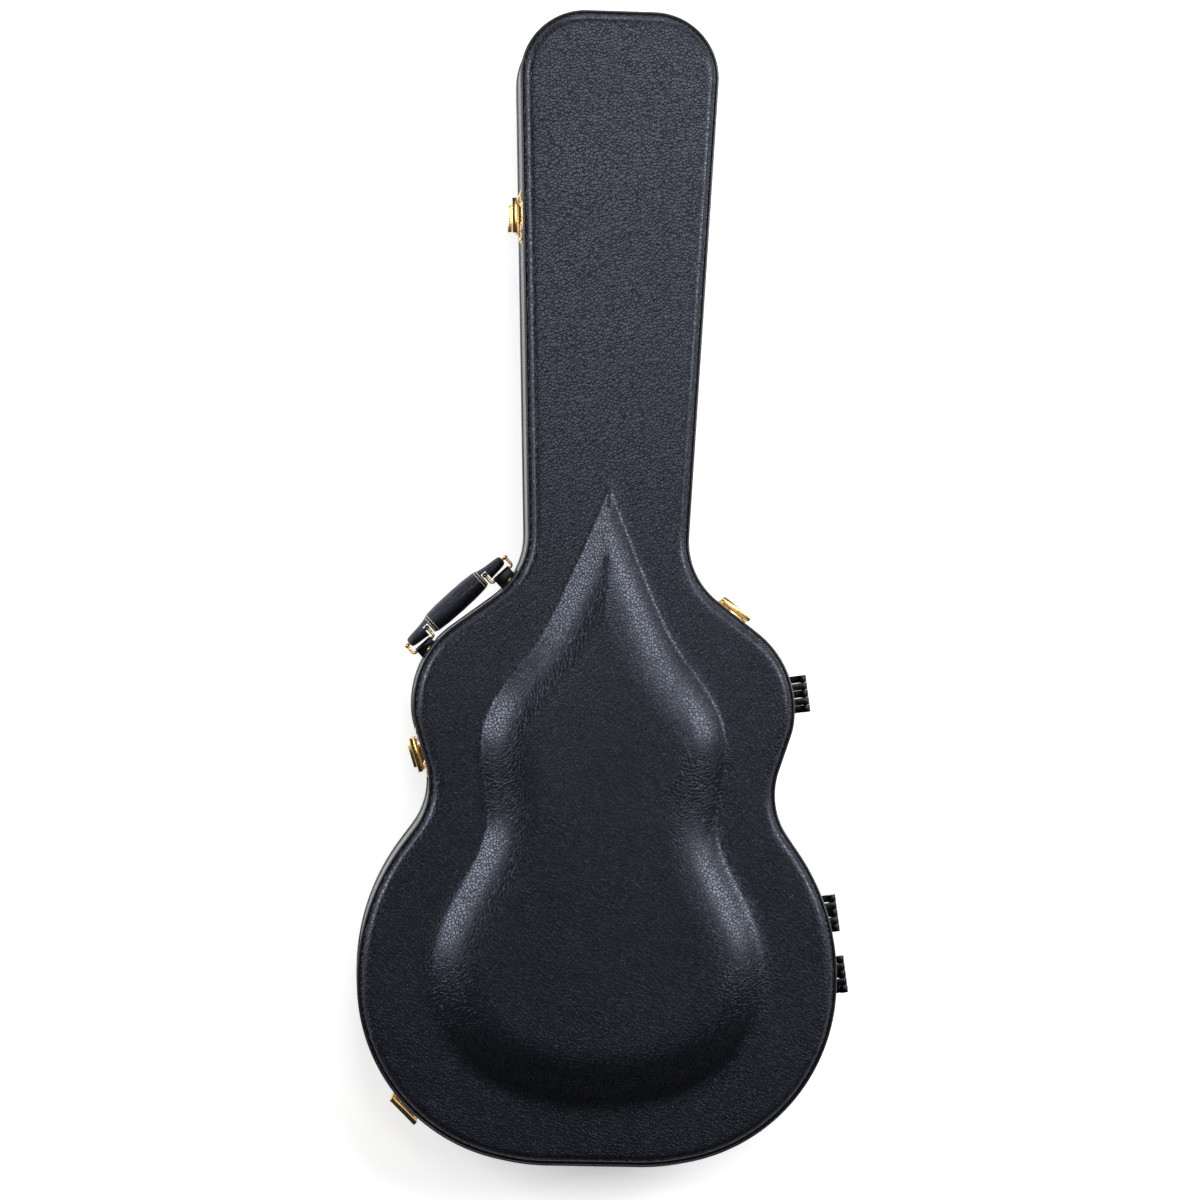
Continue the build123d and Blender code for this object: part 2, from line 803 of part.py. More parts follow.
def wire_bend(start, centre, turn):
    """A quarter turn of ring wire from a point of the flat plane round a centre in it."""
    first, middle = (flat_plane.from_local_coords((*point, 0)) for point in (start, centre))
    with BuildPart() as bend:
        with BuildSketch(Plane(origin=first, z_dir=flat_plane.x_dir)):
            Circle(ring_wire)
        revolve(axis=Axis(middle, flat_plane.z_dir * turn), revolution_arc=90)
    return bend.part


rings = []
for side_sign in (-1, 1):
    low, high = sorted((side_sign * ring_near, side_sign * ring_far))
    reach = handle_pivot_reach
    with BuildPart() as wire_ring:
        add(wire_run((low + ring_bend, 0), (high - ring_bend, 0)))
        add(wire_run((low, reach), (high, reach)))
        for end, turn in ((low, 1), (high, -1)):
            near_end = end + turn * ring_bend
            add(wire_run((end, ring_bend), (end, reach)))
            add(wire_bend((near_end, 0), (near_end, ring_bend), -turn))
            with Locations(Location(flat_plane.from_local_coords((end, reach, 0)))):
                Sphere(ring_bead)
    rings.append(wire_ring.part)
save_group(rings, "handle_rings")

grip_half_sections = [
    (0.5 * grip_half_length, grip_half_height - 1, grip_half_depth - 1),
    (0.68 * grip_half_length, grip_end_height + 2, grip_end_depth + 1),
    (grip_half_length, grip_end_height, grip_end_depth),
]
grip_sections = (
    [(-along, height, depth) for along, height, depth in reversed(grip_half_sections)]
    + [(0, grip_half_height, grip_half_depth)]
    + grip_half_sections
)
grip_side = side_plane(grip_plane)
with BuildPart() as handle_grip:
    for along, half_height, half_depth in grip_sections:
        with BuildSketch(grip_side.offset(along)):
            Ellipse(half_height, half_depth)
    loft()
    for start in (-notch_far, notch_near):
        with BuildSketch(grip_side.offset(start)):
            with Locations((0, ring_bead + 0.6 - grip_half_depth)):
                Rectangle(3 * grip_half_height, 2 * grip_half_depth)
        extrude(amount=notch_far - notch_near, mode=Mode.SUBTRACT)
    with BuildSketch(grip_side.offset(-grip_half_length - 1)):
        Circle(ring_wire + running_clearance)
    extrude(amount=grip_half_length + 1 - notch_near, mode=Mode.SUBTRACT)
    with BuildSketch(grip_side.offset(notch_near)):
        Circle(ring_wire + running_clearance)
    extrude(amount=grip_half_length + 1 - notch_near, mode=Mode.SUBTRACT)
save(handle_grip.part, "handle_grip")
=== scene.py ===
# %% [markdown]
# This file dresses a hard case for an electric guitar. The packed model gives every piece
# its place, and each cell replaces plain CAD shapes with finished ones.
# Lengths are in metres, X runs across the case, Y towards the head and Z up.

# %% Load the packed model
import json
import math

import bmesh
import bpy
import numpy as np
from mathutils import Matrix, Vector, geometry
from mathutils.bvhtree import BVHTree

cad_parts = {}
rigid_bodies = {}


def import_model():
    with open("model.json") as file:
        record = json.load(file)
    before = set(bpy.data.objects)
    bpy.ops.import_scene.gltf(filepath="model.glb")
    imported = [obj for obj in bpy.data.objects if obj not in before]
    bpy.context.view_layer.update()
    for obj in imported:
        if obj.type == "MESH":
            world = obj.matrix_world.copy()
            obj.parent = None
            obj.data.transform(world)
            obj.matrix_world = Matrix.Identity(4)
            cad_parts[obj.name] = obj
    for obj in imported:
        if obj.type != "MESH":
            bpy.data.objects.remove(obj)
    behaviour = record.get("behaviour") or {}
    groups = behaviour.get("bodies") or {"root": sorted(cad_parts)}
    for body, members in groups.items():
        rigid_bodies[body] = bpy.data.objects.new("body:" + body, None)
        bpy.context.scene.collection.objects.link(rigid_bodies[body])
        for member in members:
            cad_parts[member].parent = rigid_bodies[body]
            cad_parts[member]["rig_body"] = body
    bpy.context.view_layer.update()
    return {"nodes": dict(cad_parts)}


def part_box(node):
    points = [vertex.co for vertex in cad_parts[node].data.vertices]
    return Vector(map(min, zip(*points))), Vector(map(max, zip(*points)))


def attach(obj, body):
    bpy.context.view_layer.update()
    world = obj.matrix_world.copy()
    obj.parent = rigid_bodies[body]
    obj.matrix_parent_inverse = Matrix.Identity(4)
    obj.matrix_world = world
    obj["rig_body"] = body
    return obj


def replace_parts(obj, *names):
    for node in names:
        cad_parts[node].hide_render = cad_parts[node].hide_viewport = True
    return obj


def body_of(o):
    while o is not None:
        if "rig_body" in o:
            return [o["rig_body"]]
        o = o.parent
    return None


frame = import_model()
nodes = frame["nodes"]
MM = 0.001
WELD = 0.01 * MM

# %% [markdown]
# The photograph was taken from almost straight above, a little to the left of the case,
# through a long lens. The camera comes first, so that every later render can be compared.

# %% Camera
camera_turn = math.radians(1.4)
camera_lens = 133.2
camera_place = Vector((-0.257, -0.008, 4.374))
camera_target = Vector((-0.007, -0.011, 0.114))


def place_camera(place, target, turn, lens):
    """Points a new camera at the target, its picture turned about the line of sight."""
    backward = (place - target).normalized()
    right = Vector((math.cos(turn), math.sin(turn), 0))
    right = (right - backward * right.dot(backward)).normalized()
    upward = backward.cross(right)
    data = bpy.data.cameras.new("Photo camera")
    data.lens = lens
    data.sensor_width = 36
    camera = bpy.data.objects.new("Photo camera", data)
    camera.matrix_world = Matrix((right, upward, backward)).transposed().to_4x4()
    camera.matrix_world.translation = place
    bpy.context.collection.objects.link(camera)
    bpy.context.scene.camera = camera
    return camera


camera = place_camera(camera_place, camera_target, camera_turn, camera_lens)
print("camera", tuple(camera.location))

# %% [markdown]
# A material is a small program of nodes. Writing it as sums in Python keeps it readable:
# one class stands for a node's output and turns each operator into a Math node.

# %% Shader sums
class Term:
    """One output of a shader node, which can be added, multiplied and compared in Python."""

    def __init__(self, finish, socket):
        self.finish = finish
        self.socket = socket

    def __add__(self, other):
        return self.finish.math("ADD", self, other)

    def __sub__(self, other):
        return self.finish.math("SUBTRACT", self, other)

    def __rsub__(self, other):
        return self.finish.math("SUBTRACT", other, self)

    def __mul__(self, other):
        return self.finish.math("MULTIPLY", self, other)

    __radd__ = __add__
    __rmul__ = __mul__


print("operators", [name for name in vars(Term) if name.startswith(("__add", "__sub", "__mul", "__r"))])

# %% [markdown]
# A finish is one material. It has a short method for each kind of node that the case's
# materials need, and its last two methods link the results to the Principled shader.

# %% Finishes
class Finish:
    """A material with one Principled shader, whose nodes are added line by line."""

    def __init__(self, name, **constants):
        self.material = bpy.data.materials.new(name)
        self.material.use_nodes = True
        self.tree = self.material.node_tree
        self.shader = self.tree.nodes["Principled BSDF"]
        for socket, value in constants.items():
            self.shader.inputs[socket.replace("_", " ")].default_value = value

    def node(self, kind, settings, sockets, output=0):
        """Adds a node: its settings first, then the values or links of its sockets."""
        made = self.tree.nodes.new(kind)
        for name, value in settings.items():
            setattr(made, name, value)
        for key, value in sockets.items():
            if isinstance(value, Term):
                self.tree.links.new(value.socket, made.inputs[key])
            else:
                made.inputs[key].default_value = value
        return Term(self, made.outputs[output])

    def math(self, operation, first, second=0.0):
        return self.node("ShaderNodeMath", {"operation": operation}, {0: first, 1: second})

    def clamped(self, value):
        return self.node("ShaderNodeClamp", {}, {"Value": value})

    def smooth(self, value, low, high):
        """0 below low, 1 above high, and an even ramp between."""
        sockets = {"Value": value, "From Min": low, "From Max": high}
        settings = {"interpolation_type": "SMOOTHSTEP"}
        return self.node("ShaderNodeMapRange", settings, sockets)

    def coordinates(self):
        """Object coordinates, turned so that no face lies along the cells of a pattern."""
        place = self.node("ShaderNodeTexCoord", {}, {}, "Object")
        return self.node("ShaderNodeMapping", {}, {"Vector": place, "Rotation": (0.6, 0.4, 0.3)})

    def noise(self, place, scale, detail=2.0, roughness=0.5):
        sockets = {"Vector": place, "Scale": scale, "Detail": detail, "Roughness": roughness}
        return self.node("ShaderNodeTexNoise", {}, sockets, "Fac")

    def cells(self, place, scale, feature):
        """A distance in a net of cells: to their middles with F1, or to their edges."""
        settings = {"feature": feature}
        sockets = {"Vector": place, "Scale": scale, "Randomness": 0.95}
        return self.node("ShaderNodeTexVoronoi", settings, sockets, "Distance")

    def mixed(self, share, first, second):
        """A colour between two colours."""
        settings = {"data_type": "RGBA"}
        return self.node("ShaderNodeMix", settings, {0: share, 6: first, 7: second}, 2)

    def shaken(self, place, scale, amount):
        """The place moved a little by noise, so that a pattern isn't regular."""
        drift = self.node("ShaderNodeTexNoise", {}, {"Vector": place, "Scale": scale}, "Color")
        offset = self.node(
            "ShaderNodeVectorMath", {"operation": "SCALE"}, {0: drift, "Scale": amount}
        )
        return self.node("ShaderNodeVectorMath", {"operation": "ADD"}, {0: place, 1: offset})

    def set(self, **terms):
        """Links each term to the shader's socket of that name."""
        for socket, term in terms.items():
            self.tree.links.new(term.socket, self.shader.inputs[socket.replace("_", " ")])

    def relief(self, height, strength, distance):
        """Bumps from a height, where distance is the depth of the full height in metres."""
        sockets = {"Height": height, "Strength": strength, "Distance": distance}
        self.set(Normal=self.node("ShaderNodeBump", {}, sockets))


print("a finish can make", [name for name in vars(Finish) if not name.startswith("_")])

# %% [markdown]
# The covering is black leathercloth with a navy cast. Its grain is a net of small rounded
# pebbles, about 3 mm across, with narrow creases between them. Voronoi cells give the net,
# noise bends it, and a second, finer net roughens the tops.

# %% Pebbled covering
def pebbled(name, colour, worn, pebble, depth, rough):
    """Pebble-grained leather: pebble and depth are the grain's size and relief in metres."""
    finish = Finish(name, Specular_IOR_Level=0.5, Specular_Tint=(0.72, 0.78, 1, 1))
    place = finish.coordinates()
    bent = finish.shaken(place, 0.3 / pebble, 0.35 * pebble)
    edge = finish.cells(bent, 1 / pebble, "DISTANCE_TO_EDGE")
    crease_width = 0.15
    pebbles = finish.smooth(edge, 0.0, crease_width)
    fine_edge = finish.cells(bent, 2.7 / pebble, "DISTANCE_TO_EDGE")
    fine = finish.smooth(fine_edge, 0.0, 0.25)
    pores = finish.noise(place, 4.0 / pebble, 3.0)
    patches = finish.noise(place, 9.0, 3.0)
    wear = finish.node("ShaderNodeAttribute", {"attribute_name": "wear"}, {}, "Fac")
    rubbed = finish.clamped(wear * (0.35 + 1.3 * patches) * pebbles)
    height = pebbles * 0.85 + fine * 0.06 + pores * 0.08
    # Painted shade: the creases between the pebbles take a colour 0.12 times as bright as the pebbles'
    # own.
    crease_shade = 0.12
    deep = tuple(crease_shade * part for part in colour[:3]) + (1,)
    body = finish.mixed(pebbles * (0.75 + 0.25 * patches), deep, colour)
    finish.set(Base_Color=finish.mixed(rubbed * 0.5, body, worn))
    finish.set(Roughness=rough + 0.1 * (1 - pebbles) + 0.12 * (patches - 0.5) - 0.06 * rubbed)
    finish.relief(height, 0.55, depth)
    return finish.material


navy_black = (0.0085, 0.0088, 0.0125, 1)
worn_navy = (0.03, 0.03, 0.036, 1)
shell_leather = pebbled("Pebbled leathercloth", navy_black, worn_navy, 3.1 * MM, 0.3 * MM, 0.25)
warm_black = (0.012, 0.012, 0.015, 1)
worn_brown = (0.045, 0.04, 0.038, 1)
handle_leather = pebbled("Handle leather", warm_black, worn_brown, 1.9 * MM, 0.36 * MM, 0.27)
print("coverings", shell_leather.name, handle_leather.name)

# %% [markdown]
# The piping and the valance are smooth vinyl, and the fittings are gold-plated steel.
# Plating is polished but never perfect: faint rubbing marks and a film of dust in places
# change its roughness.

# %% Vinyl and plating
def vinyl(name, colour, rough):
    """Smooth plastic with faint wrinkles, also used for the waxed thread."""
    finish = Finish(name, Specular_IOR_Level=0.5)
    place = finish.coordinates()
    patches = finish.noise(place, 40.0, 3.0)
    wrinkles = finish.noise(place, 700.0, 3.0)
    lighter = tuple(1.8 * part for part in colour[:3]) + (1,)
    finish.set(Base_Color=finish.mixed(patches, colour, lighter))
    finish.set(Roughness=rough + 0.2 * (patches - 0.5))
    finish.relief(wrinkles, 0.25, 0.12 * MM)
    return finish.material


def plated(name, colour, dull, rough):
    """Polished plating with rubbing marks and a few dull patches."""
    finish = Finish(name, Metallic=1.0)
    place = finish.coordinates()
    patches = finish.noise(place, 55.0, 4.0)
    marks = finish.noise(finish.shaken(place, 30.0, 0.004), 900.0, 2.0)
    dusty = finish.smooth(patches, 0.52, 0.7)
    finish.set(Base_Color=finish.mixed(dusty * 0.45, colour, dull))
    finish.set(Roughness=rough + 0.14 * dusty + 0.08 * marks)
    finish.relief(marks, 0.08, 0.05 * MM)
    return finish.material


piping_vinyl = vinyl("Piping vinyl", (0.009, 0.0095, 0.013, 1), 0.26)
valance_vinyl = vinyl("Valance vinyl", (0.012, 0.012, 0.014, 1), 0.42)
thread = vinyl("Waxed thread", (0.62, 0.52, 0.36, 1), 0.5)
gold = plated("Gold plating", (0.86, 0.6, 0.24, 1), (0.5, 0.33, 0.13, 1), 0.14)
black_plating = plated("Black hinge plating", (0.02, 0.02, 0.022, 1), (0.05, 0.05, 0.05, 1), 0.24)
print("finishes", [finish.name for finish in (piping_vinyl, valance_vinyl, thread, gold, black_plating)])

# %% [markdown]
# The inside is lined with plush. Its pile is too short for hairs to be worth their cost, so
# small Voronoi cells stand for tufts, noise for strands, and Sheen gives the soft edge light.

# %% Plush
def plush(name, colour, tip):
    """Short pile: tufts about a millimetre across, brushed in soft patches."""
    finish = Finish(name, Specular_IOR_Level=0.25, Sheen_Weight=0.7, Sheen_Roughness=0.45)
    place = finish.coordinates()
    tufts = finish.cells(finish.shaken(place, 500.0, 0.0008), 1100.0, "F1")
    brushed = finish.noise(place, 16.0, 3.0)
    strands = finish.noise(place, 2600.0, 2.0)
    shade = finish.clamped(0.75 * brushed + 0.5 * strands - 0.45 * tufts)
    finish.set(Base_Color=finish.mixed(shade, colour, tip))
    finish.set(Roughness=0.82 + 0.12 * (brushed - 0.5))
    finish.relief(strands * 0.4 - tufts, 0.6, 0.8 * MM)
    return finish.material


pile = plush("Plush pile", (0.012, 0.011, 0.013, 1), (0.045, 0.042, 0.05, 1))
print("lining", pile.name)

# %% [markdown]
# The outline of the case is the shape of the guitar: straight runs joined by arcs, some of
# them hollow. The same outline shapes the base, the lid, the piping and the linings, so it
# is worked out once, as points with the direction that faces out of the case at each.

# %% Outline
# Corners of the right half as x, y and the arc's radius, in mm
right_corners = (
    (64, -555, 200), (230, -522, 173), (230, -306, 211), (158, -206, 72),
    (183, -128, 69), (183, -68, 92), (75, 13, 75), (97, 555, 62),
)
all_corners = right_corners + tuple((-x, y, r) for x, y, r in reversed(right_corners))


def rounded_outline(corners, step):
    """Points and outward directions along a closed polygon with an arc at each corner."""
    places, facings = [], []
    spots = [np.array(corner[:2], float) for corner in corners]
    for index, corner in enumerate(corners):
        here = spots[index]
        back = spots[index - 1] - here
        onward = spots[(index + 1) % len(spots)] - here
        back /= np.linalg.norm(back)
        onward /= np.linalg.norm(onward)
        half = 0.5 * math.acos(float(back @ onward))
        centre = here + (back + onward) / np.linalg.norm(back + onward) * corner[2] / math.sin(half)
        start = here + back * corner[2] / math.tan(half) - centre
        finish = here + onward * corner[2] / math.tan(half) - centre
        first = math.atan2(start[1], start[0])
        turn = (math.atan2(finish[1], finish[0]) - first + math.pi) % (2 * math.pi) - math.pi
        if places:
            gap = centre + start - places[-1]
            runs = int(np.linalg.norm(gap) / step)
            for share in np.arange(1, runs) / max(runs, 1):
                places.append(run_start + gap * share)
                facings.append(facings[-1])
        for share in np.linspace(0, 1, max(3, math.ceil(abs(turn) * corner[2] / step))):
            angle = first + turn * share
            ray = np.array((math.cos(angle), math.sin(angle)))
            places.append(centre + corner[2] * ray)
            facings.append(ray if turn > 0 else -ray)
        run_start = places[-1]
    return np.array(places) * MM, np.array(facings)


outline_step = 4.5
outline, facing = rounded_outline(all_corners, outline_step)
print("outline points", len(outline), "width", np.ptp(outline[:, 0]), "length", np.ptp(outline[:, 1]))

# %% [markdown]
# Every piece that is modelled here becomes a plain mesh at the origin. Points that lie
# together are merged, so that the skin is closed, and only sharp edges stay unsmoothed.

# %% Mesh helpers
def new_object(name, vertices, faces, finish):
    """A mesh object at the origin with one material."""
    mesh = bpy.data.meshes.new(name)
    mesh.from_pydata([tuple(v) for v in vertices], [], [tuple(f) for f in faces])
    mesh.materials.append(finish)
    made = bpy.data.objects.new(name, mesh)
    bpy.context.collection.objects.link(made)
    return made


def eased(made):
    """Merges doubled points, drops loose ones and shades all but the sharp edges smooth."""
    work = bmesh.new()
    work.from_mesh(made.data)
    bmesh.ops.remove_doubles(work, verts=work.verts, dist=WELD)
    loose = [vertex for vertex in work.verts if not vertex.link_faces]
    bmesh.ops.delete(work, geom=loose, context="VERTS")
    work.to_mesh(made.data)
    work.free()
    made.data.shade_smooth()
    made.data.set_sharp_from_angle(angle=math.radians(40))
    return made


print("points closer than", WELD / MM, "mm are merged")

# %% [markdown]
# Every wall of the case is one cross-section carried round that outline. A mesh made this
# way has even strips of faces, so it shades smoothly where the bent plywood is smooth.

# %% Walls that follow the outline
def carried(profile, closed):
    """Points and faces of a cross-section (out, level) in mm carried round the outline."""
    count = len(outline)
    points = [
        np.column_stack((outline + facing * out * MM, np.full(count, level * MM)))
        for out, level in profile
    ]
    faces = []
    rows = len(profile) if closed else len(profile) - 1
    for row in range(rows):
        low, high = row * count, (row + 1) % len(profile) * count
        for step in range(count):
            after = (step + 1) % count
            faces.append((low + step, low + after, high + after, high + step))
    return np.vstack(points), faces


def arc(centre_out, centre_level, radius, start, finish, steps=6, stretch=1.0):
    """Part of a round edge in a cross-section, from one angle to another in degrees."""
    angles = np.radians(np.linspace(start, finish, steps))
    outs = centre_out + radius * stretch * np.cos(angles)
    levels = centre_level + radius * np.sin(angles)
    return list(zip(outs, levels))


print("a round edge has", len(arc(0, 0, 1, 0, 90)), "points, a wall", len(outline), "strips")

# %% [markdown]
# The crown of the lid is pressed up in a figure that follows the guitar's body and ends in
# a point towards the neck. It meets the flat margin in a crease and rounds over inside, so
# its height depends on one thing: how far a point is from the crown's border.

# %% Crown border
# Points of the right half of the border as x and y, in mm, from the tip to the tail
crown_points = (
    (0, 99), (37.5, 7.5), (71, -59), (106, -108), (118, -144),
    (111, -229), (146, -310), (160, -370), (130, -447), (0, -495),
)


def smooth_line(points, first, last, samples):
    """A line with an even bend through points, with a given direction at each end."""
    spots = np.array(points, float)
    chords = np.linalg.norm(np.diff(spots, axis=0), axis=1)
    size = len(spots)
    table = np.zeros((size, size))
    sides = np.zeros((size, 2))
    table[0, 0] = table[-1, -1] = 1
    sides[0] = first
    sides[-1] = last
    for k in range(1, size - 1):
        before, after = 1 / chords[k - 1], 1 / chords[k]
        table[k, k - 1 : k + 2] = before, 2 * (before + after), after
        steps = spots[k] - spots[k - 1], spots[k + 1] - spots[k]
        sides[k] = 3 * (steps[0] * before**2 + steps[1] * after**2)
    slopes = np.linalg.solve(table, sides)
    line = []
    for k in range(size - 1):
        count = max(2, int(chords[k] / samples))
        for t in np.arange(count) / count:
            blend = (2 * t**3 - 3 * t**2 + 1, 3 * t**2 - 2 * t**3)
            pull = ((t**3 - 2 * t**2 + t) * chords[k], (t**3 - t**2) * chords[k])
            line.append(
                blend[0] * spots[k] + blend[1] * spots[k + 1]
                + pull[0] * slopes[k] + pull[1] * slopes[k + 1]
            )
    return np.array(line + [spots[-1]])


tip_direction = (0.35, -0.94)
tail_direction = (-1, 0)
border_step = 2.5
right_border = smooth_line(crown_points, tip_direction, tail_direction, border_step)
border = np.vstack((right_border, (right_border * (-1, 1))[::-1][1:-1])) * MM
print("crown border points", len(border))

# %% [markdown]
# The height at a point is a parabola of its distance from that border: steep at the crease,
# level once it is 52 mm inside. Near the tail the crease itself is rounded over.

# %% Crown height
crown_height = 20.0
crown_slope = 52.0
crease_places = (-0.36, -0.22)
crease_rounds = (10.0, 2.2)


def border_distance(spots):
    """How far each point lies inside the crown's border, negative outside it."""
    ends = np.roll(border, -1, axis=0)
    runs = ends - border
    nearest = np.full(len(spots), 1e9)
    inside = np.zeros(len(spots), bool)
    for start, run, end in zip(border, runs, ends):
        shares = np.clip(((spots - start) @ run) / (run @ run), 0, 1)
        gaps = spots - start - shares[:, None] * run
        nearest = np.minimum(nearest, np.einsum("ij,ij->i", gaps, gaps))
        crosses = (start[1] > spots[:, 1]) != (end[1] > spots[:, 1])
        if crosses.any():
            at = start[0] + (spots[:, 1] - start[1]) / (end[1] - start[1]) * run[0]
            inside ^= crosses & (spots[:, 0] < at)
    return np.sqrt(nearest) * np.where(inside, 1, -1)


def crown_rise(spots):
    """The crown's height over the flat margin, in metres. Its crease softens towards the tail."""
    deep = border_distance(spots) / MM
    crease = np.interp(spots[:, 1], crease_places, crease_rounds)
    soft = np.where(np.abs(deep) < crease, (deep + crease) ** 2 / (4 * crease), np.maximum(deep, 0))
    return crown_height * MM * (1 - (1 - np.minimum(soft, crown_slope) / crown_slope) ** 2)


print("rise at the tip and in the middle", crown_rise(np.array([(0, 0.09), (0, -0.3)])))

# %% [markdown]
# The flat and crowned faces are filled with a net of triangles. Points lie on a grid, and
# closer together along the crease, so that the crease stays a clean line.

# %% Filled faces
# Insets in mm of the extra rows of points along the crease
crease_rows = (-1.6, 0.0, 1.6, 3.6)
row_error = 0.2


def net_of(ring, spacing):
    """Points and triangles that fill a closed ring, closer together at the crown's crease."""
    low, high = ring.min(axis=0), ring.max(axis=0)
    across = np.arange(-math.floor(-low[0] / spacing), math.floor(high[0] / spacing) + 1) * spacing
    along = np.arange(low[1], high[1], spacing)
    grid = np.stack(np.meshgrid(across, along), axis=-1).reshape(-1, 2)
    grid = grid[np.abs(border_distance(grid)) > 0.75 * spacing]
    lines = []
    runs = np.roll(border, -1, axis=0) - np.roll(border, 1, axis=0)
    inward = np.column_stack((runs[:, 1], -runs[:, 0])) / np.linalg.norm(runs, axis=1)[:, None]
    for inset in crease_rows:
        moved = border + inward * inset * MM
        lines.append(moved[np.abs(border_distance(moved) - inset * MM) < row_error * MM])
    spots = np.vstack([grid, *lines])
    gaps = np.linalg.norm(spots[:, None, :] - ring[None, ::2, :], axis=2).min(axis=1)
    spots = spots[gaps > 0.6 * spacing]
    points = [Vector(p) for p in ring] + [Vector(p) for p in spots]
    edges = [(k, (k + 1) % len(ring)) for k in range(len(ring))]
    found = geometry.delaunay_2d_cdt(points, edges, [], 1, 1e-7)
    return np.array([tuple(p) for p in found[0]]), found[2]


margin = 30.0
inner_ring = outline - facing * margin * MM
net_spacing = 6 * MM
net_points, net_faces = net_of(inner_ring, net_spacing)
net_rise = crown_rise(net_points)
print("crown net", len(net_points), "points,", len(net_faces), "faces, rise", net_rise.max())

# %% [markdown]
# The base is a tray: a back board, bent sides and a rim. The lid is its counterpart with
# the crown. Both are covered with the same leathercloth, wrapped over every edge, so each is
# one closed skin here, with the plywood's thickness and a groove for the piping. A "wear"
# attribute marks the edges that rub, and the leather's material reads it.

# %% A closed shell
wear_reach = 2.2


def shell(name, profile, finish, crowned, wear_edges=()):
    """A wall carried round the outline, closed above and below by a flat or crowned face."""
    points, faces = carried(profile, False)
    levels = [points]
    start = len(points)
    for row, reverse in ((0, True), (-1, False)):
        level = profile[row][1] * MM
        if crowned:
            heights = np.full(len(net_points), level) + net_rise
            levels.append(np.column_stack((net_points, heights)))
            for face in net_faces:
                face = face[::-1] if reverse else face
                faces.append(tuple(start + k for k in face))
            start += len(net_points)
        else:
            base = row % len(profile) * len(outline)
            cap = tuple(base + k for k in range(len(outline)))
            faces.append(cap[::-1] if reverse else cap)
    made = new_object(name, np.vstack(levels), faces, finish)
    wear = made.data.attributes.new("wear", "FLOAT", "POINT")
    values = np.zeros(len(made.data.vertices))
    for row, (out, level) in enumerate(profile):
        close = [abs(out - o) + abs(level - z) for o, z in wear_edges]
        if close and min(close) < wear_reach:
            values[row * len(outline) : (row + 1) * len(outline)] = 1
    wear.data.foreach_set("value", values)
    return eased(made)


def groove(low, high):
    """The slot that the piping's bead sits in."""
    depth = 1.1
    return [(0, low - 0.3), (-depth, low), (-depth, high), (0, high + 0.3)]


base_groove = groove(6, 9)
print("groove of the base", base_groove)

# %% [markdown]
# The two cross-sections are pairs of (out, level) in mm, from the outline's wall and from
# the floor. The base's runs up its outside and down its inside. The lid's starts inside its
# rim, runs down and up the outer wall, and ends on the rounded edge of the panel.

# %% Base and lid shells
base_profile = (
    [(-margin, 0), (-14, 0)]
    + arc(-5, 5, 5, -90, 0, 7)
    + base_groove
    + [(0, 12), (0, 40), (0, 74)]
    + arc(-1, 75, 1, 0, 90, 4)
    + arc(-5, 75, 1, 90, 180, 4)
    + [(-6, 40), (-6, 6), (-margin, 6)]
)
base_shell = shell("base_shell", base_profile, shell_leather, False, ((0, 75.5), (-1.5, 1.5)))
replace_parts(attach(base_shell, "base"), "base_board", "base_side_left", "base_side_right")
lid_profile = (
    [(-margin, 108.4), (-6, 108.4), (-6, 90), (-6, 78.4)]
    + arc(-5, 77.4, 1, 180, 270, 4)
    + arc(-1, 77.4, 1, 270, 360, 4)
    + [(0, 80), (0, 90), (0, 103)]
    + [(0, 105.6), (-1.5, 106.0), (-1.8, 108.2), (-3.2, 108.6)]
    + arc(-11.8, 109.0, 5.4, 5, 90, 12, 1.6)
    + [(-16, 114.4), (-22, 114.4), (-margin, 114.4)]
)
lid_shell = shell("lid_shell", lid_profile, shell_leather, True, ((0, 77), (-5.2, 113)))
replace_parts(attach(lid_shell, "lid"), "lid_panel", "lid_side_left", "lid_side_right")
print("shells", len(base_shell.data.polygons), len(lid_shell.data.polygons), "faces")

# %% [markdown]
# Inside, a stiff valance stands up from the base and guides the lid, and plush lines both
# halves. The lid's lining follows the hollow under the crown.

# %% Valance and linings
valance_points, valance_faces = carried(
    [(-6, 48), (-6, 76), (-6.8, 76.4)]
    + arc(-7.2, 81.6, 0.4, 0, 90, 3)
    + arc(-8.1, 81.6, 0.4, 90, 180, 3)
    + [(-8.5, 60), (-8.5, 48.3)],
    True,
)
valance = eased(new_object("valance_lip", valance_points, valance_faces, valance_vinyl))
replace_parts(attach(valance, "base"), "valance")
lining_profile = (
    [(-margin, 6.3), (-6.3, 6.3), (-6.3, 30), (-6.3, 47.3)]
    + arc(-7.3, 46.9, 0.9, 0, 180, 5)
    + [(-8.3, 30), (-8.3, 13)]
    + arc(-12.5, 12.5, 4.2, 0, -90, 6)
    + [(-margin, 8.3)]
)
base_lining = shell("plush_tray", lining_profile, pile, False)
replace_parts(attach(base_lining, "base"), "base_lining")
lid_lining_profile = (
    [(-margin, 106.1)]
    + arc(-12.5, 101.9, 4.2, 90, 0, 6)
    + [(-8.3, 95), (-8.3, 87)]
    + arc(-7.3, 86.9, 0.9, 180, 360, 5)
    + [(-6.3, 95), (-6.3, 108.1), (-margin, 108.1)]
)
lid_lining = shell("plush_lid", lid_lining_profile, pile, True)
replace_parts(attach(lid_lining, "lid"), "lid_lining")
print("linings", len(base_lining.data.polygons), len(lid_lining.data.polygons), "faces")

# %% [markdown]
# Geometry Nodes suit whatever follows a line or repeats. A first tree turns a line of edges
# into a round bead: the piping in both grooves and the wire of the handle's rings. Its
# radius is a named input, set by the socket's identifier.

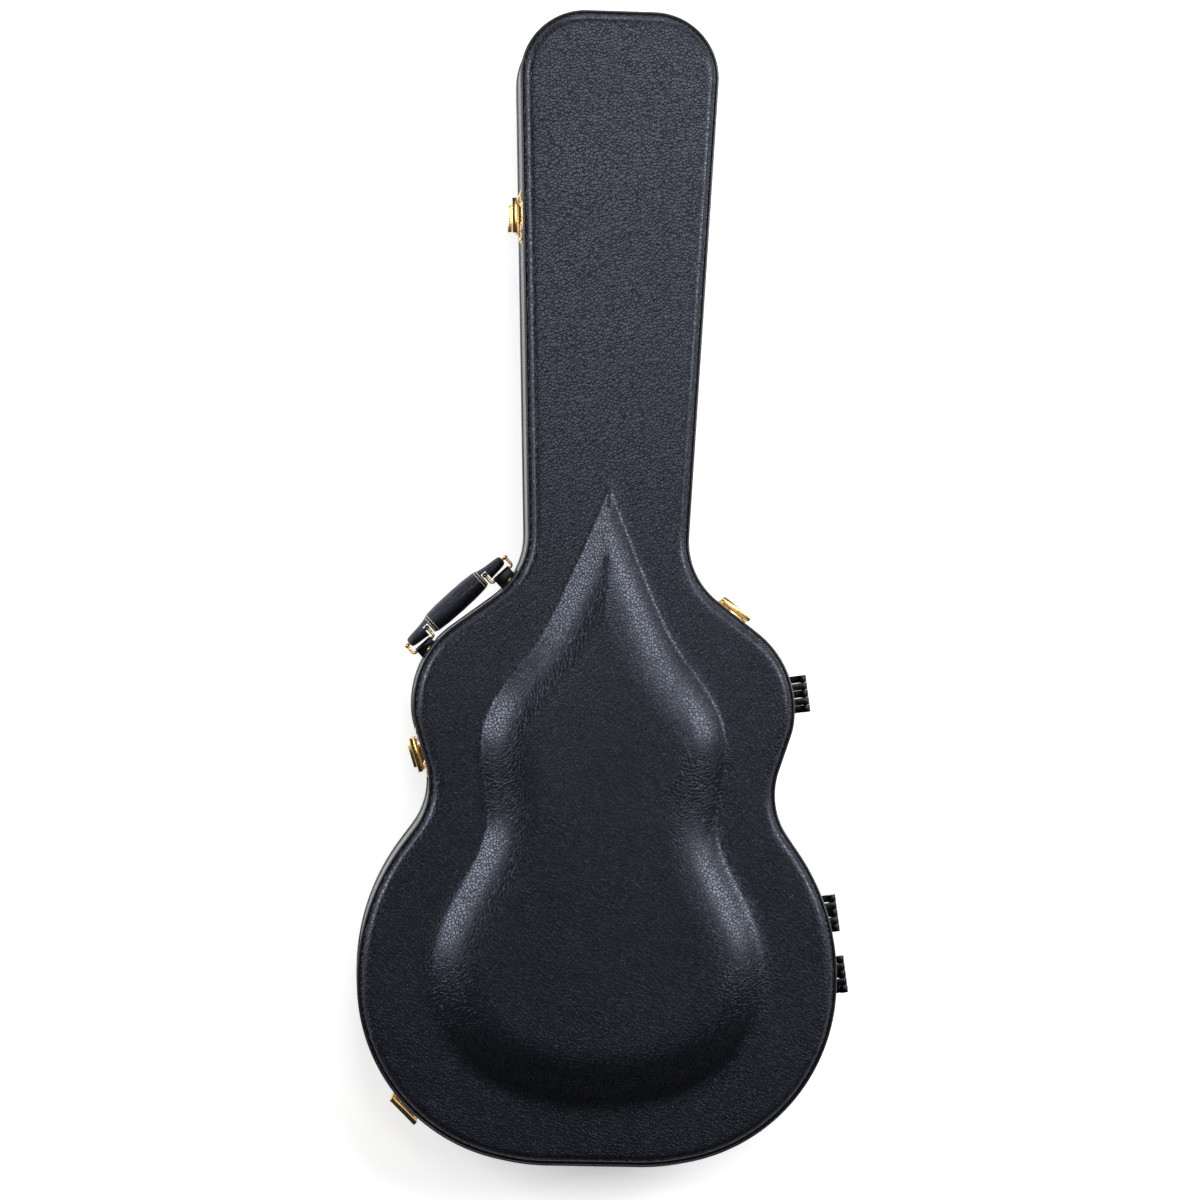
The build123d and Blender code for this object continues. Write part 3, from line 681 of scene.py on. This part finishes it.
# %% Tree for beads along a line
def new_tree(name, inputs):
    """A Geometry Nodes tree with a geometry input, number inputs and a material input."""
    tree = bpy.data.node_groups.new(name, "GeometryNodeTree")
    tree.interface.new_socket("Geometry", in_out="INPUT", socket_type="NodeSocketGeometry")
    for label in inputs:
        tree.interface.new_socket(label, in_out="INPUT", socket_type="NodeSocketFloat")
    tree.interface.new_socket("Finish", in_out="INPUT", socket_type="NodeSocketMaterial")
    tree.interface.new_socket("Geometry", in_out="OUTPUT", socket_type="NodeSocketGeometry")
    return tree


def step_of(tree, kind, settings, sockets):
    """Adds a node to a tree: settings first, then the values or links of its sockets."""
    made = tree.nodes.new(kind)
    for name, value in settings.items():
        setattr(made, name, value)
    for key, value in sockets.items():
        if isinstance(value, bpy.types.NodeSocket):
            tree.links.new(value, made.inputs[key])
        else:
            made.inputs[key].default_value = value
    return made


def close_tree(tree, shape, entry):
    """Ends a tree as the export needs it: real geometry, shaded smooth, with its finish."""
    real = step_of(tree, "GeometryNodeRealizeInstances", {}, {"Geometry": shape})
    smooth = step_of(tree, "GeometryNodeSetShadeSmooth", {}, {"Geometry": real.outputs[0]})
    sockets = {"Geometry": smooth.outputs[0], "Material": entry.outputs["Finish"]}
    dressed = step_of(tree, "GeometryNodeSetMaterial", {}, sockets)
    step_of(tree, "NodeGroupOutput", {}, {0: dressed.outputs[0]})


bead_tree = new_tree("Bead along a line", ["Bead radius"])
entry = step_of(bead_tree, "NodeGroupInput", {}, {})
line = step_of(bead_tree, "GeometryNodeMeshToCurve", {}, {"Mesh": entry.outputs["Geometry"]})
round_section = step_of(
    bead_tree,
    "GeometryNodeCurvePrimitiveCircle",
    {},
    {"Resolution": 14, "Radius": entry.outputs["Bead radius"]},
)
bead = step_of(
    bead_tree,
    "GeometryNodeCurveToMesh",
    {},
    {"Curve": line.outputs[0], "Profile Curve": round_section.outputs[0]},
)
close_tree(bead_tree, bead.outputs[0], entry)
print("tree", bead_tree.name, len(bead_tree.nodes), "nodes")

# %% [markdown]
# A tree runs on a carrier object that holds only the line or the cloud of points. Its
# evaluated result is kept as a plain mesh and the carrier is removed, so that the export
# meets no live modifier.

# %% Run a tree and keep its mesh
def grown(name, points, edges, tree, values, finish, attributes=()):
    """Runs a tree on a line or a cloud of points and returns the result as a plain mesh."""
    seed = bpy.data.meshes.new(name + "_seed")
    seed.from_pydata([tuple(p) for p in points], edges, [])
    for label, vectors in attributes:
        layer = seed.attributes.new(label, "FLOAT_VECTOR", "POINT")
        layer.data.foreach_set("vector", np.array(vectors, float).ravel())
    carrier = bpy.data.objects.new(name + "_seed", seed)
    bpy.context.collection.objects.link(carrier)
    modifier = carrier.modifiers.new("Tree", "NODES")
    modifier.node_group = tree
    known = {item.name: item.identifier for item in tree.interface.items_tree}
    for label, value in values.items():
        modifier[known[label]] = value
    modifier[known["Finish"]] = finish
    graph = bpy.context.evaluated_depsgraph_get()
    mesh = bpy.data.meshes.new_from_object(carrier.evaluated_get(graph))
    mesh.name = name
    bpy.data.objects.remove(carrier)
    made = bpy.data.objects.new(name, mesh)
    bpy.context.collection.objects.link(made)
    return made


def loop_edges(count):
    """Edges that join a row of points into a closed line."""
    return [(k, (k + 1) % count) for k in range(count)]


piping_radius = 1.45


def piping(name, level, node, body):
    """The beaded edge of one half: a line round the case at a level, half sunk in its groove."""
    line = np.column_stack((outline, np.full(len(outline), level * MM)))
    values = {"Bead radius": piping_radius * MM}
    made = grown(name, line, loop_edges(len(line)), bead_tree, values, piping_vinyl)
    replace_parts(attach(made, body), node)
    return made


base_bead = piping("base_piping_bead", 7.5, "base_piping", "base")
lid_bead = piping("lid_piping_bead", 107.2, "lid_piping", "lid")
print("piping", len(base_bead.data.polygons), len(lid_bead.data.polygons), "faces")

# %% [markdown]
# A second tree sets one dome on each point of a cloud, turned to face the way that the
# point's attribute says. It makes the rivets of the fittings and the round beads at the
# corners of the handle's rings.

# %% Tree for domes
dome_tree = new_tree("Domes on points", ["Dome radius", "Dome height"])
entry = step_of(dome_tree, "NodeGroupInput", {}, {})
ball = step_of(
    dome_tree, "GeometryNodeMeshUVSphere", {}, {"Segments": 20, "Rings": 12, "Radius": 1.0}
)
dome_size = step_of(
    dome_tree,
    "ShaderNodeCombineXYZ",
    {},
    {
        0: entry.outputs["Dome radius"],
        1: entry.outputs["Dome radius"],
        2: entry.outputs["Dome height"],
    },
)
faces_to = step_of(
    dome_tree, "GeometryNodeInputNamedAttribute", {"data_type": "FLOAT_VECTOR"}, {"Name": "facing"}
)
upright = step_of(
    dome_tree,
    "FunctionNodeAlignRotationToVector",
    {"axis": "Z"},
    {"Vector": faces_to.outputs[0]},
)
set_out = step_of(
    dome_tree,
    "GeometryNodeInstanceOnPoints",
    {},
    {
        "Points": entry.outputs["Geometry"],
        "Instance": ball.outputs[0],
        "Rotation": upright.outputs[0],
        "Scale": dome_size.outputs[0],
    },
)
close_tree(dome_tree, set_out.outputs[0], entry)
print("tree", dome_tree.name, len(dome_tree.nodes), "nodes")

# %% [markdown]
# The CAD model has a plain head for every rivet. Where each stands is read from there, and
# a dome takes its place.

# %% Rivets
rivet_radius = 2.6
rivet_height = 1.45
rivet_lift = 0.05


def islands(node):
    """The separate solids of a CAD node, each as an array of its points."""
    work = bmesh.new()
    work.from_mesh(nodes[node].data)
    bmesh.ops.remove_doubles(work, verts=work.verts, dist=WELD)
    left = set(work.verts)
    found = []
    while left:
        front = [left.pop()]
        members = list(front)
        while front:
            for edge in front.pop().link_edges:
                for vertex in edge.verts:
                    if vertex in left:
                        left.remove(vertex)
                        front.append(vertex)
                        members.append(vertex)
        found.append(np.array([tuple(v.co) for v in members]))
    work.free()
    return found


def rivets(name, node, body):
    """Domed heads where the CAD node has them, on the wall side of each."""
    seats, facings = [], []
    for head in islands(node):
        middle = (head.min(axis=0) + head.max(axis=0)) / 2
        nearest = np.linalg.norm(outline - middle[:2], axis=1).argmin()
        out = np.array((*facing[nearest], 0.0))
        foot = (head @ out).min()
        seats.append(middle + out * (foot + rivet_lift * MM - middle @ out))
        facings.append(out)
    values = {"Dome radius": rivet_radius * MM, "Dome height": rivet_height * MM}
    made = grown(name, seats, [], dome_tree, values, gold, [("facing", facings)])
    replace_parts(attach(made, body), node)
    return seats


base_seats = rivets("base_rivet_domes", "base_rivets", "base")
lid_seats = rivets("lid_rivet_domes", "lid_rivets", "lid")
print("rivets", len(base_seats), "in the base,", len(lid_seats), "in the lid")

# %% [markdown]
# The latches, hinges and brackets are pressed from sheet metal. Their shapes come from the
# CAD pieces. A fine bevel on each sharp edge catches the light, as tumbled edges do.

# %% Pressed fittings
edge_round = 0.28


def softened(node, finish):
    """A copy of a CAD piece, welded, with a fine round bevel on its sharp edges."""
    made = bpy.data.objects.new(node + "_finished", nodes[node].data.copy())
    bpy.context.collection.objects.link(made)
    made.data.materials.clear()
    made.data.materials.append(finish)
    work = bmesh.new()
    work.from_mesh(made.data)
    for face in work.faces:
        face.material_index = 0
    bmesh.ops.remove_doubles(work, verts=work.verts, dist=WELD)
    bmesh.ops.dissolve_limit(
        work, angle_limit=math.radians(0.6), verts=work.verts, edges=work.edges
    )
    sharp = [e for e in work.edges if e.is_manifold and e.calc_face_angle(0) > math.radians(32)]
    bmesh.ops.bevel(
        work, geom=sharp, offset=edge_round * MM, segments=2, profile=0.5, affect="EDGES",
        clamp_overlap=True,
    )
    work.to_mesh(made.data)
    work.free()
    made.data.shade_smooth()
    made.data.set_sharp_from_angle(angle=math.radians(38))
    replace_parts(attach(made, body_of(nodes[node])[0]), node)
    return made


latches = ("latch_plate", "latch_lever", "latch_hook", "latch_strike")
fittings = [softened(node, gold) for node in nodes if node.startswith(latches)]
hinges = ("hinge_base", "hinge_lid", "handle_bracket")
fittings += [softened(node, black_plating) for node in nodes if node.startswith(hinges)]
for node, finish in (("latch_pins", gold), ("hinge_pins", black_plating), ("pocket_pin", gold)):
    nodes[node].data.materials.clear()
    nodes[node].data.materials.append(finish)
print("fittings", len(fittings))

# %% [markdown]
# The handle lies on the curved left shoulder, turned by 43.5 degrees. One helper turns
# distances along the handle and out from its pivot line into places in the frame, and the
# rings, the grip, its slots and its stitches all use it.

# %% Places beside the handle
handle_turn = math.radians(43.5)
handle_out = Vector((-math.sin(handle_turn), math.cos(handle_turn), 0))
handle_along = Vector((0, 0, 1)).cross(handle_out)
grip_centre = Vector((-0.1435, -0.016, 0.042))
pivot_reach = 10.5


def on_handle(along, out, up=0.0):
    """A point beside the handle, in mm along it, out from its pivot line and up."""
    line = grip_centre - handle_out * pivot_reach * MM
    return line + handle_along * along * MM + handle_out * out * MM + Vector((0, 0, up * MM))


print("grip's middle", tuple(on_handle(0, pivot_reach)))

# %% [markdown]
# The handle hangs on two wire rings. Each is a closed rectangle with small bends, from the
# wall to the grip's middle, so the bead tree carries a round section along such a loop. The
# dome tree sets a round bead on each of the two outer corners.

# %% Handle rings
ring_ends = ((38, 64.5), (-64.5, -38))
ring_bend = 2.2
wire_radius = 1.5
bead_radius = 2.4


def ring_loop(near, far, reach, bend, steps=6):
    """The middle of a ring's wire: a rectangle with rounded corners, as (along, out) pairs."""
    corners = ((far, 0, -90), (far, reach, 0), (near, reach, 90), (near, 0, 180))
    middle = ((near + far) / 2, reach / 2)
    loop = []
    for along, out, first in corners:
        centre = (
            along + math.copysign(bend, middle[0] - along),
            out + math.copysign(bend, middle[1] - out),
        )
        for angle in np.radians(np.linspace(first, first + 90, steps)):
            loop.append((centre[0] + bend * math.cos(angle), centre[1] + bend * math.sin(angle)))
    return loop


ring_points, ring_edges, bead_places = [], [], []
for near, far in ring_ends:
    loop = [on_handle(*pair) for pair in ring_loop(near, far, pivot_reach, ring_bend)]
    ring_edges += [(a + len(ring_points), b + len(ring_points)) for a, b in loop_edges(len(loop))]
    ring_points += loop
    bead_places += [on_handle(near, pivot_reach), on_handle(far, pivot_reach)]
ring_wire = grown(
    "handle_ring_wire", ring_points, ring_edges, bead_tree, {"Bead radius": wire_radius * MM}, gold
)
ring_beads = grown(
    "handle_ring_beads", bead_places, [], dome_tree,
    {"Dome radius": bead_radius * MM, "Dome height": bead_radius * MM}, gold,
    [("facing", [(0, 0, 1)] * len(bead_places))],
)
for piece in (ring_wire, ring_beads):
    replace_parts(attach(piece, "handle_rings"), "handle_rings")
print("ring wire", len(ring_wire.data.polygons), "beads", len(ring_beads.data.polygons))

# %% [markdown]
# Padded pieces get their shape from what is inside them. Each starts as the CAD solid, is
# remeshed into even faces and drawn in a little, and is then blown up as cloth, so that its
# faces crown and its edges pull in. One run of the timeline inflates them all together.

# %% Start of a padded piece
pads = []
air_pressure = 4
last_frame = 20


def start_pad(made, node, voxel, draw_in, cap, finish):
    """Remeshes a soft piece, draws it in and gives it cloth with pressure.

    No point moves further than cap when it is blown up.
    """
    eased(made)
    remesh = made.modifiers.new("Even faces", "REMESH")
    remesh.mode = "VOXEL"
    remesh.voxel_size = voxel
    graph = bpy.context.evaluated_depsgraph_get()
    even = bpy.data.meshes.new_from_object(made.evaluated_get(graph))
    made.modifiers.clear()
    made.data = even
    even.materials.clear()
    even.materials.append(finish)
    work = bmesh.new()
    work.from_mesh(even)
    bmesh.ops.smooth_vert(
        work, verts=work.verts, factor=0.5, use_axis_x=True, use_axis_y=True, use_axis_z=True
    )
    work.normal_update()
    for vertex in work.verts:
        vertex.co -= vertex.normal * draw_in
    work.to_mesh(even)
    work.free()
    cloth = made.modifiers.new("Cloth", "CLOTH")
    cloth.settings.use_pressure = True
    cloth.settings.uniform_pressure_force = air_pressure
    cloth.settings.effector_weights.gravity = 0
    cloth.settings.quality = 4
    cloth.settings.tension_stiffness = 20
    cloth.settings.compression_stiffness = 20
    cloth.point_cache.frame_start = 1
    cloth.point_cache.frame_end = last_frame
    pads.append((made, node, cap))


print("pressure", air_pressure, "over", last_frame, "frames")

# %% [markdown]
# The grip is fuller in its middle and steps down to slim ends. Its mesh is a row of ovals
# at stations along it. The CAD grip isn't used, because its slots would be blown shut.

# %% Grip
# Distance from the middle, half height and half depth at each station, in mm
core = (
    (0, 13, 12), (18, 12.9, 11.7), (31, 12.2, 10.6), (35, 10.4, 8.8),
    (44, 9, 7.2), (56, 8, 6.2), (60.2, 7, 5.4), (61.6, 5, 4),
)
oval_steps = 36
oval_count = 81
core_distances, core_heights, core_depths = zip(*core)
places = np.linspace(-core_distances[-1], core_distances[-1], oval_count)
heights = np.interp(np.abs(places), core_distances, core_heights)
depths = np.interp(np.abs(places), core_distances, core_depths)
grip_points = []
for along, height, depth in zip(places, heights, depths):
    for angle in np.linspace(0, 2 * math.pi, oval_steps, endpoint=False):
        out = pivot_reach + depth * math.cos(angle)
        grip_points.append(on_handle(along, out, height * math.sin(angle)))
grip_faces = []
last_oval = (oval_count - 1) * oval_steps
for start in range(0, last_oval, oval_steps):
    for step in range(oval_steps):
        first, second = start + step, start + (step + 1) % oval_steps
        grip_faces.append((first, second, second + oval_steps, first + oval_steps))
grip_faces.append(tuple(range(oval_steps))[::-1])
grip_faces.append(tuple(last_oval + k for k in range(oval_steps)))
grip = new_object("grip_padded", grip_points, grip_faces, handle_leather)
start_pad(grip, "handle_grip", 1.6 * MM, 0.6 * MM, 0.8 * MM, handle_leather)
print("grip", len(grip.data.vertices), "points")

# %% [markdown]
# The bolsters hold the guitar, the cradle holds its neck, and the pocket has a stiff padded
# divider and flap. Thin pieces get finer faces and less padding than thick ones.

# %% Bolsters, cradle and pocket
# Size of the faces, draw-in and cap of each piece, in mm
padding = {
    "tail_bolster": (4.5, 1.6, 2.2),
    "shoulder_bolster_left": (4.5, 1.6, 2.2),
    "shoulder_bolster_right": (4.5, 1.6, 2.2),
    "head_bolster": (4.5, 1.6, 2.2),
    "neck_cradle": (4, 1.4, 2),
    "pocket_divider": (2, 0.3, 0.3),
    "pocket_flap": (1.5, 0.3, 0.4),
}
for node, (voxel, draw_in, cap) in padding.items():
    soft = bpy.data.objects.new(node + "_pad", nodes[node].data.copy())
    bpy.context.collection.objects.link(soft)
    start_pad(soft, node, voxel * MM, draw_in * MM, cap * MM, pile)
print("pads started", len(pads), sum(len(pad[0].data.vertices) for pad in pads), "points")

# %% [markdown]
# One pass over the frames runs every cloth. Each point's move is then cut to the cap of its
# piece, so that the padding stays off its neighbours, and one subdivision smooths the skin.

# %% Inflate, cap and finish the pads
for step in range(1, last_frame + 1):
    bpy.context.scene.frame_set(step)
graph = bpy.context.evaluated_depsgraph_get()
for made, node, cap in pads:
    count = len(made.data.vertices)
    start = np.empty(count * 3)
    made.data.vertices.foreach_get("co", start)
    grown_mesh = made.evaluated_get(graph).to_mesh()
    blown = np.empty(count * 3)
    grown_mesh.vertices.foreach_get("co", blown)
    made.evaluated_get(graph).to_mesh_clear()
    moves = (blown - start).reshape(-1, 3)
    lengths = np.linalg.norm(moves, axis=1)
    moves *= np.minimum(1, cap / np.maximum(lengths, 1e-9))[:, None]
    made.modifiers.clear()
    made.data.vertices.foreach_set("co", start + moves.ravel())
    made.data.shade_smooth()
    finer = made.modifiers.new("Subdivision", "SUBSURF")
    finer.levels = finer.render_levels = 1
    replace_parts(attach(made, body_of(nodes[node])[0]), node)
    print(made.name, count, "points, largest move", round(lengths.max() / MM, 2), "mm")
bpy.context.scene.frame_set(1)

# %% [markdown]
# The rings' near legs enter the handle through two slots on its wall side, and their outer
# runs lie in a bore along each end. A cutter is the convex hull of a few points, so a block
# and a round bar need only their corners and rims.

# %% Cutters
bore_radius = 1.65
bore_sides = 20


def box_points(start, finish, near, far, half):
    """Corners of a block beside the handle: along it, out from the pivot line, and up."""
    return [
        on_handle(along, out, up)
        for along in (start, finish)
        for out in (near, far)
        for up in (-half, half)
    ]


def hull(name, clouds):
    """One object that holds the convex hull of each cloud of points."""
    work = bmesh.new()
    for cloud in clouds:
        verts = [work.verts.new(point) for point in cloud]
        bmesh.ops.convex_hull(work, input=verts)
    bmesh.ops.recalc_face_normals(work, faces=work.faces)
    mesh = bpy.data.meshes.new(name)
    work.to_mesh(mesh)
    work.free()
    made = bpy.data.objects.new(name, mesh)
    bpy.context.collection.objects.link(made)
    return made


def bore_points(start, finish):
    """Rims of a bore along the handle's axis."""
    return [
        on_handle(along, pivot_reach + bore_radius * math.cos(angle), bore_radius * math.sin(angle))
        for along in (start, finish)
        for angle in np.linspace(0, 2 * math.pi, bore_sides, endpoint=False)
    ]


print("a cutter for a bore has", len(bore_points(0, 1)), "points")

# %% [markdown]
# Slots and bores are cut after the padding has its shape. The Exact solver is slow but
# leaves a closed skin, and the cut grip is kept as a plain mesh.

# %% Slots and bores of the grip
# Where they start and end along the handle, how far a slot cuts beyond the pivot line and
# beyond the grip's middle, in mm
slot_spans = ((-41, -35), (35, 41))
slot_reach = 20
slot_depth = 3
bore_spans = ((-70, -38), (38, 70))
slots = hull("slots", [
    box_points(start, finish, -slot_reach, pivot_reach + slot_depth, slot_reach)
    for start, finish in slot_spans
])
bores = hull("bores", [bore_points(start, finish) for start, finish in bore_spans])
for cutter in (slots, bores):
    cut = grip.modifiers.new("Cut", "BOOLEAN")
    cut.operation = "DIFFERENCE"
    cut.solver = "EXACT"
    cut.object = cutter
graph = bpy.context.evaluated_depsgraph_get()
carved = bpy.data.meshes.new_from_object(grip.evaluated_get(graph))
grip.modifiers.clear()
grip.data = carved
grip.data.shade_smooth()
grip.data.set_sharp_from_angle(angle=math.radians(50))
for cutter in (slots, bores):
    bpy.data.objects.remove(cutter)
print("grip", len(grip.data.polygons), "faces after cutting")

# %% [markdown]
# Two double rows of cream thread cross the handle near its ends. A third tree lays stitches
# along a line: it divides the line evenly and sets one rounded stitch on each point, turned
# along the line.

# %% Tree for stitches
stitch_tree = new_tree("Stitches along a line", ["Pitch", "Stitch length", "Stitch width"])
entry = step_of(stitch_tree, "NodeGroupInput", {}, {})
line = step_of(stitch_tree, "GeometryNodeMeshToCurve", {}, {"Mesh": entry.outputs["Geometry"]})
marks = step_of(
    stitch_tree,
    "GeometryNodeResampleCurve",
    {"mode": "LENGTH"},
    {"Curve": line.outputs[0], "Length": entry.outputs["Pitch"]},
)
tangent = step_of(stitch_tree, "GeometryNodeInputTangent", {}, {})
lying = step_of(
    stitch_tree, "FunctionNodeAlignRotationToVector", {"axis": "X"}, {"Vector": tangent.outputs[0]}
)
grain_steps = 8
grain = step_of(
    stitch_tree, "GeometryNodeMeshUVSphere", {},
    {"Segments": grain_steps, "Rings": grain_steps, "Radius": 0.5},
)
stitch_size = step_of(
    stitch_tree,
    "ShaderNodeCombineXYZ",
    {},
    {
        0: entry.outputs["Stitch length"],
        1: entry.outputs["Stitch width"],
        2: entry.outputs["Stitch width"],
    },
)
sewn = step_of(
    stitch_tree,
    "GeometryNodeInstanceOnPoints",
    {},
    {
        "Points": marks.outputs[0],
        "Instance": grain.outputs[0],
        "Rotation": lying.outputs[0],
        "Scale": stitch_size.outputs[0],
    },
)
close_tree(stitch_tree, sewn.outputs[0], entry)
print("tree", stitch_tree.name, len(stitch_tree.nodes), "nodes")

# %% [markdown]
# Rays cast at the padded grip from outside find where the rows lie on its surface. The
# thread sinks halfway into the leather, so each line floats only a little above it.

# %% Rows of stitches
row_places = (-33.4, -30.6, 30.6, 33.4)
row_lift = 0.15
ray_start = 0.05
girth_steps = 48
graph = bpy.context.evaluated_depsgraph_get()
grip_surface = BVHTree.FromObject(grip, graph)


def girth(along):
    """A closed line round the grip at a distance along it, resting on its surface."""
    centre = grip_centre + handle_along * along * MM
    line = []
    for angle in np.linspace(0, 2 * math.pi, girth_steps, endpoint=False):
        ray = handle_out * math.cos(angle) + Vector((0, 0, 1)) * math.sin(angle)
        hit = grip_surface.ray_cast(centre + ray * ray_start, -ray)
        line.append(hit[0] + hit[1] * row_lift * MM)
    return line


stitch_points, stitch_edges = [], []
for along in row_places:
    first = len(stitch_points)
    stitch_points += girth(along)
    stitch_edges += [(first + a, first + b) for a, b in loop_edges(girth_steps)]
stitches = grown(
    "grip_stitches", stitch_points, stitch_edges, stitch_tree,
    {"Pitch": 3.0 * MM, "Stitch length": 2.3 * MM, "Stitch width": 0.8 * MM}, thread,
)
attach(stitches, "handle_grip")
print("stitches", len(stitches.data.polygons) // grain_steps**2)

# %% [markdown]
# A short loop of ribbon on the pocket's flap is the pull that lifts it. It is a thin woven
# strip, so it is a small flat sheet with a weave in its finish.

# %% Ribbon
def ribbon(name, colour, bright):
    """A grosgrain ribbon: ribs across it about half a millimetre apart."""
    finish = Finish(name, Specular_IOR_Level=0.35, Sheen_Weight=0.3)
    place = finish.coordinates()
    ribs = finish.node(
        "ShaderNodeTexWave", {"bands_direction": "Y"}, {"Vector": place, "Scale": 600.0}, "Fac"
    )
    fibres = finish.noise(place, 3000.0, 2.0)
    finish.set(Base_Color=finish.mixed(ribs * 0.7 + fibres * 0.3, colour, bright))
    finish.set(Roughness=0.6 + 0.2 * fibres)
    finish.relief(ribs + 0.4 * fibres, 0.5, 0.2 * MM)
    return finish.material


pull_ribbon = ribbon("Pull ribbon", (0.06, 0.005, 0.007, 1), (0.14, 0.015, 0.018, 1))
print("ribbon", pull_ribbon.name)

# %% [markdown]
# The tab is two layers of a small grid with a rim between them, so that it is closed and
# has the ribbon's half millimetre of thickness. It lies on the flap.

# %% Pull tab
tab_rows = 10
tab_row_points = 5
tab_levels = (0.15, 0.65)
tab_low, tab_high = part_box("flap_tab")
tab_points, tab_faces = [], []
for level in tab_levels:
    for y in np.linspace(tab_low.y, tab_high.y, tab_rows + 1):
        for x in np.linspace(tab_low.x, tab_high.x, tab_row_points):
            tab_points.append((x, y, tab_low.z + level * MM))
above = len(tab_points) // 2
for row in range(tab_rows):
    for column in range(tab_row_points - 1):
        corner = row * tab_row_points + column
        lower = (corner, corner + tab_row_points, corner + tab_row_points + 1, corner + 1)
        tab_faces.append(lower)
        tab_faces.append(tuple(above + k for k in lower[::-1]))
first_row = list(range(tab_row_points))
last_row = [above - 1 - k for k in first_row]
right_side = [first_row[-1] + tab_row_points * row for row in range(1, tab_rows)]
left_side = [tab_row_points * row for row in range(tab_rows - 1, 0, -1)]
rim = first_row + right_side + last_row + left_side
for first, second in zip(rim, rim[1:] + rim[:1]):
    tab_faces.append((first, second, second + above, first + above))
tab = eased(new_object("flap_pull", tab_points, tab_faces, pull_ribbon))
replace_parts(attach(tab, "pocket_flap"), "flap_tab")
print("tab", len(tab.data.polygons), "faces")

# %% [markdown]
# The case lies on a plain pale floor. A little light of its own keeps the floor white, as
# the photograph's background is, without lamps so strong that they would grey the leather.

# %% Floor
floor_finish = Finish("Pale floor", Roughness=0.9, Emission_Strength=0.5)
floor_finish.shader.inputs["Emission Color"].default_value = (1, 1, 1, 1)
mottle = floor_finish.noise(floor_finish.coordinates(), 3.0, 2.0)
floor_finish.set(
    Base_Color=floor_finish.mixed(mottle, (0.93, 0.93, 0.93, 1), (0.96, 0.96, 0.96, 1))
)
floor_points = [(-6, -6, 0), (6, -6, 0), (6, 6, 0), (-6, 6, 0)]
floor = new_object("floor", floor_points, [(0, 1, 2, 3)], floor_finish.material)
print("floor", tuple(floor.dimensions))

# %% [markdown]
# The light is soft studio light. The photograph is brightest on the neck and darkens
# towards the tail, so the overhead lamp and the lamp beyond the head both light that end.

# %% Lamps
def lamp(name, place, target, size, power):
    """A square soft box that faces a point."""
    data = bpy.data.lights.new(name, "AREA")
    data.size = size
    data.energy = power
    made = bpy.data.objects.new(name, data)
    made.location = place
    made.rotation_euler = (Vector(place) - Vector(target)).to_track_quat("Z", "Y").to_euler()
    made.visible_camera = False
    bpy.context.collection.objects.link(made)
    return made


lamps = [
    lamp("Overhead soft box", (0.35, 1.0, 4.7), (0.35, 1.0, 0), 1.5, 32),
    lamp("Left soft box", (-3.2, 0.9, 2.0), (0, 0, 0), 1.7, 95),
    lamp("Right soft box", (3.0, 1.0, 2.4), (0, 0, 0), 1.5, 90),
    lamp("High right soft box", (1.9, 1.5, 4.0), (0, 0, 0), 0.9, 30),
    lamp("Head soft box", (0.2, 3.8, 1.9), (0, 0, 0), 1.8, 62),
]
print("lamps", [made.name for made in lamps])

# %% [markdown]
# The sky is white where the camera sees it, and nearly dark for every other ray, because
# dark leather under a bright sky would look grey.

# %% Sky
seen_sky = 1.0
lighting_sky = 0.03
world = bpy.data.worlds.new("Studio")
world.use_nodes = True
sky = world.node_tree.nodes["Background"]
sky.inputs["Color"].default_value = (1, 1, 1, 1)
rays = world.node_tree.nodes.new("ShaderNodeLightPath")
strength = world.node_tree.nodes.new("ShaderNodeMapRange")
strength.inputs["To Min"].default_value = lighting_sky
strength.inputs["To Max"].default_value = seen_sky
world.node_tree.links.new(rays.outputs["Is Camera Ray"], strength.inputs["Value"])
world.node_tree.links.new(strength.outputs[0], sky.inputs["Strength"])
bpy.context.scene.world = world
bpy.context.scene.view_settings.view_transform = "Standard"
print("sky", world.name, "view", bpy.context.scene.view_settings.view_transform)

# %% [markdown]
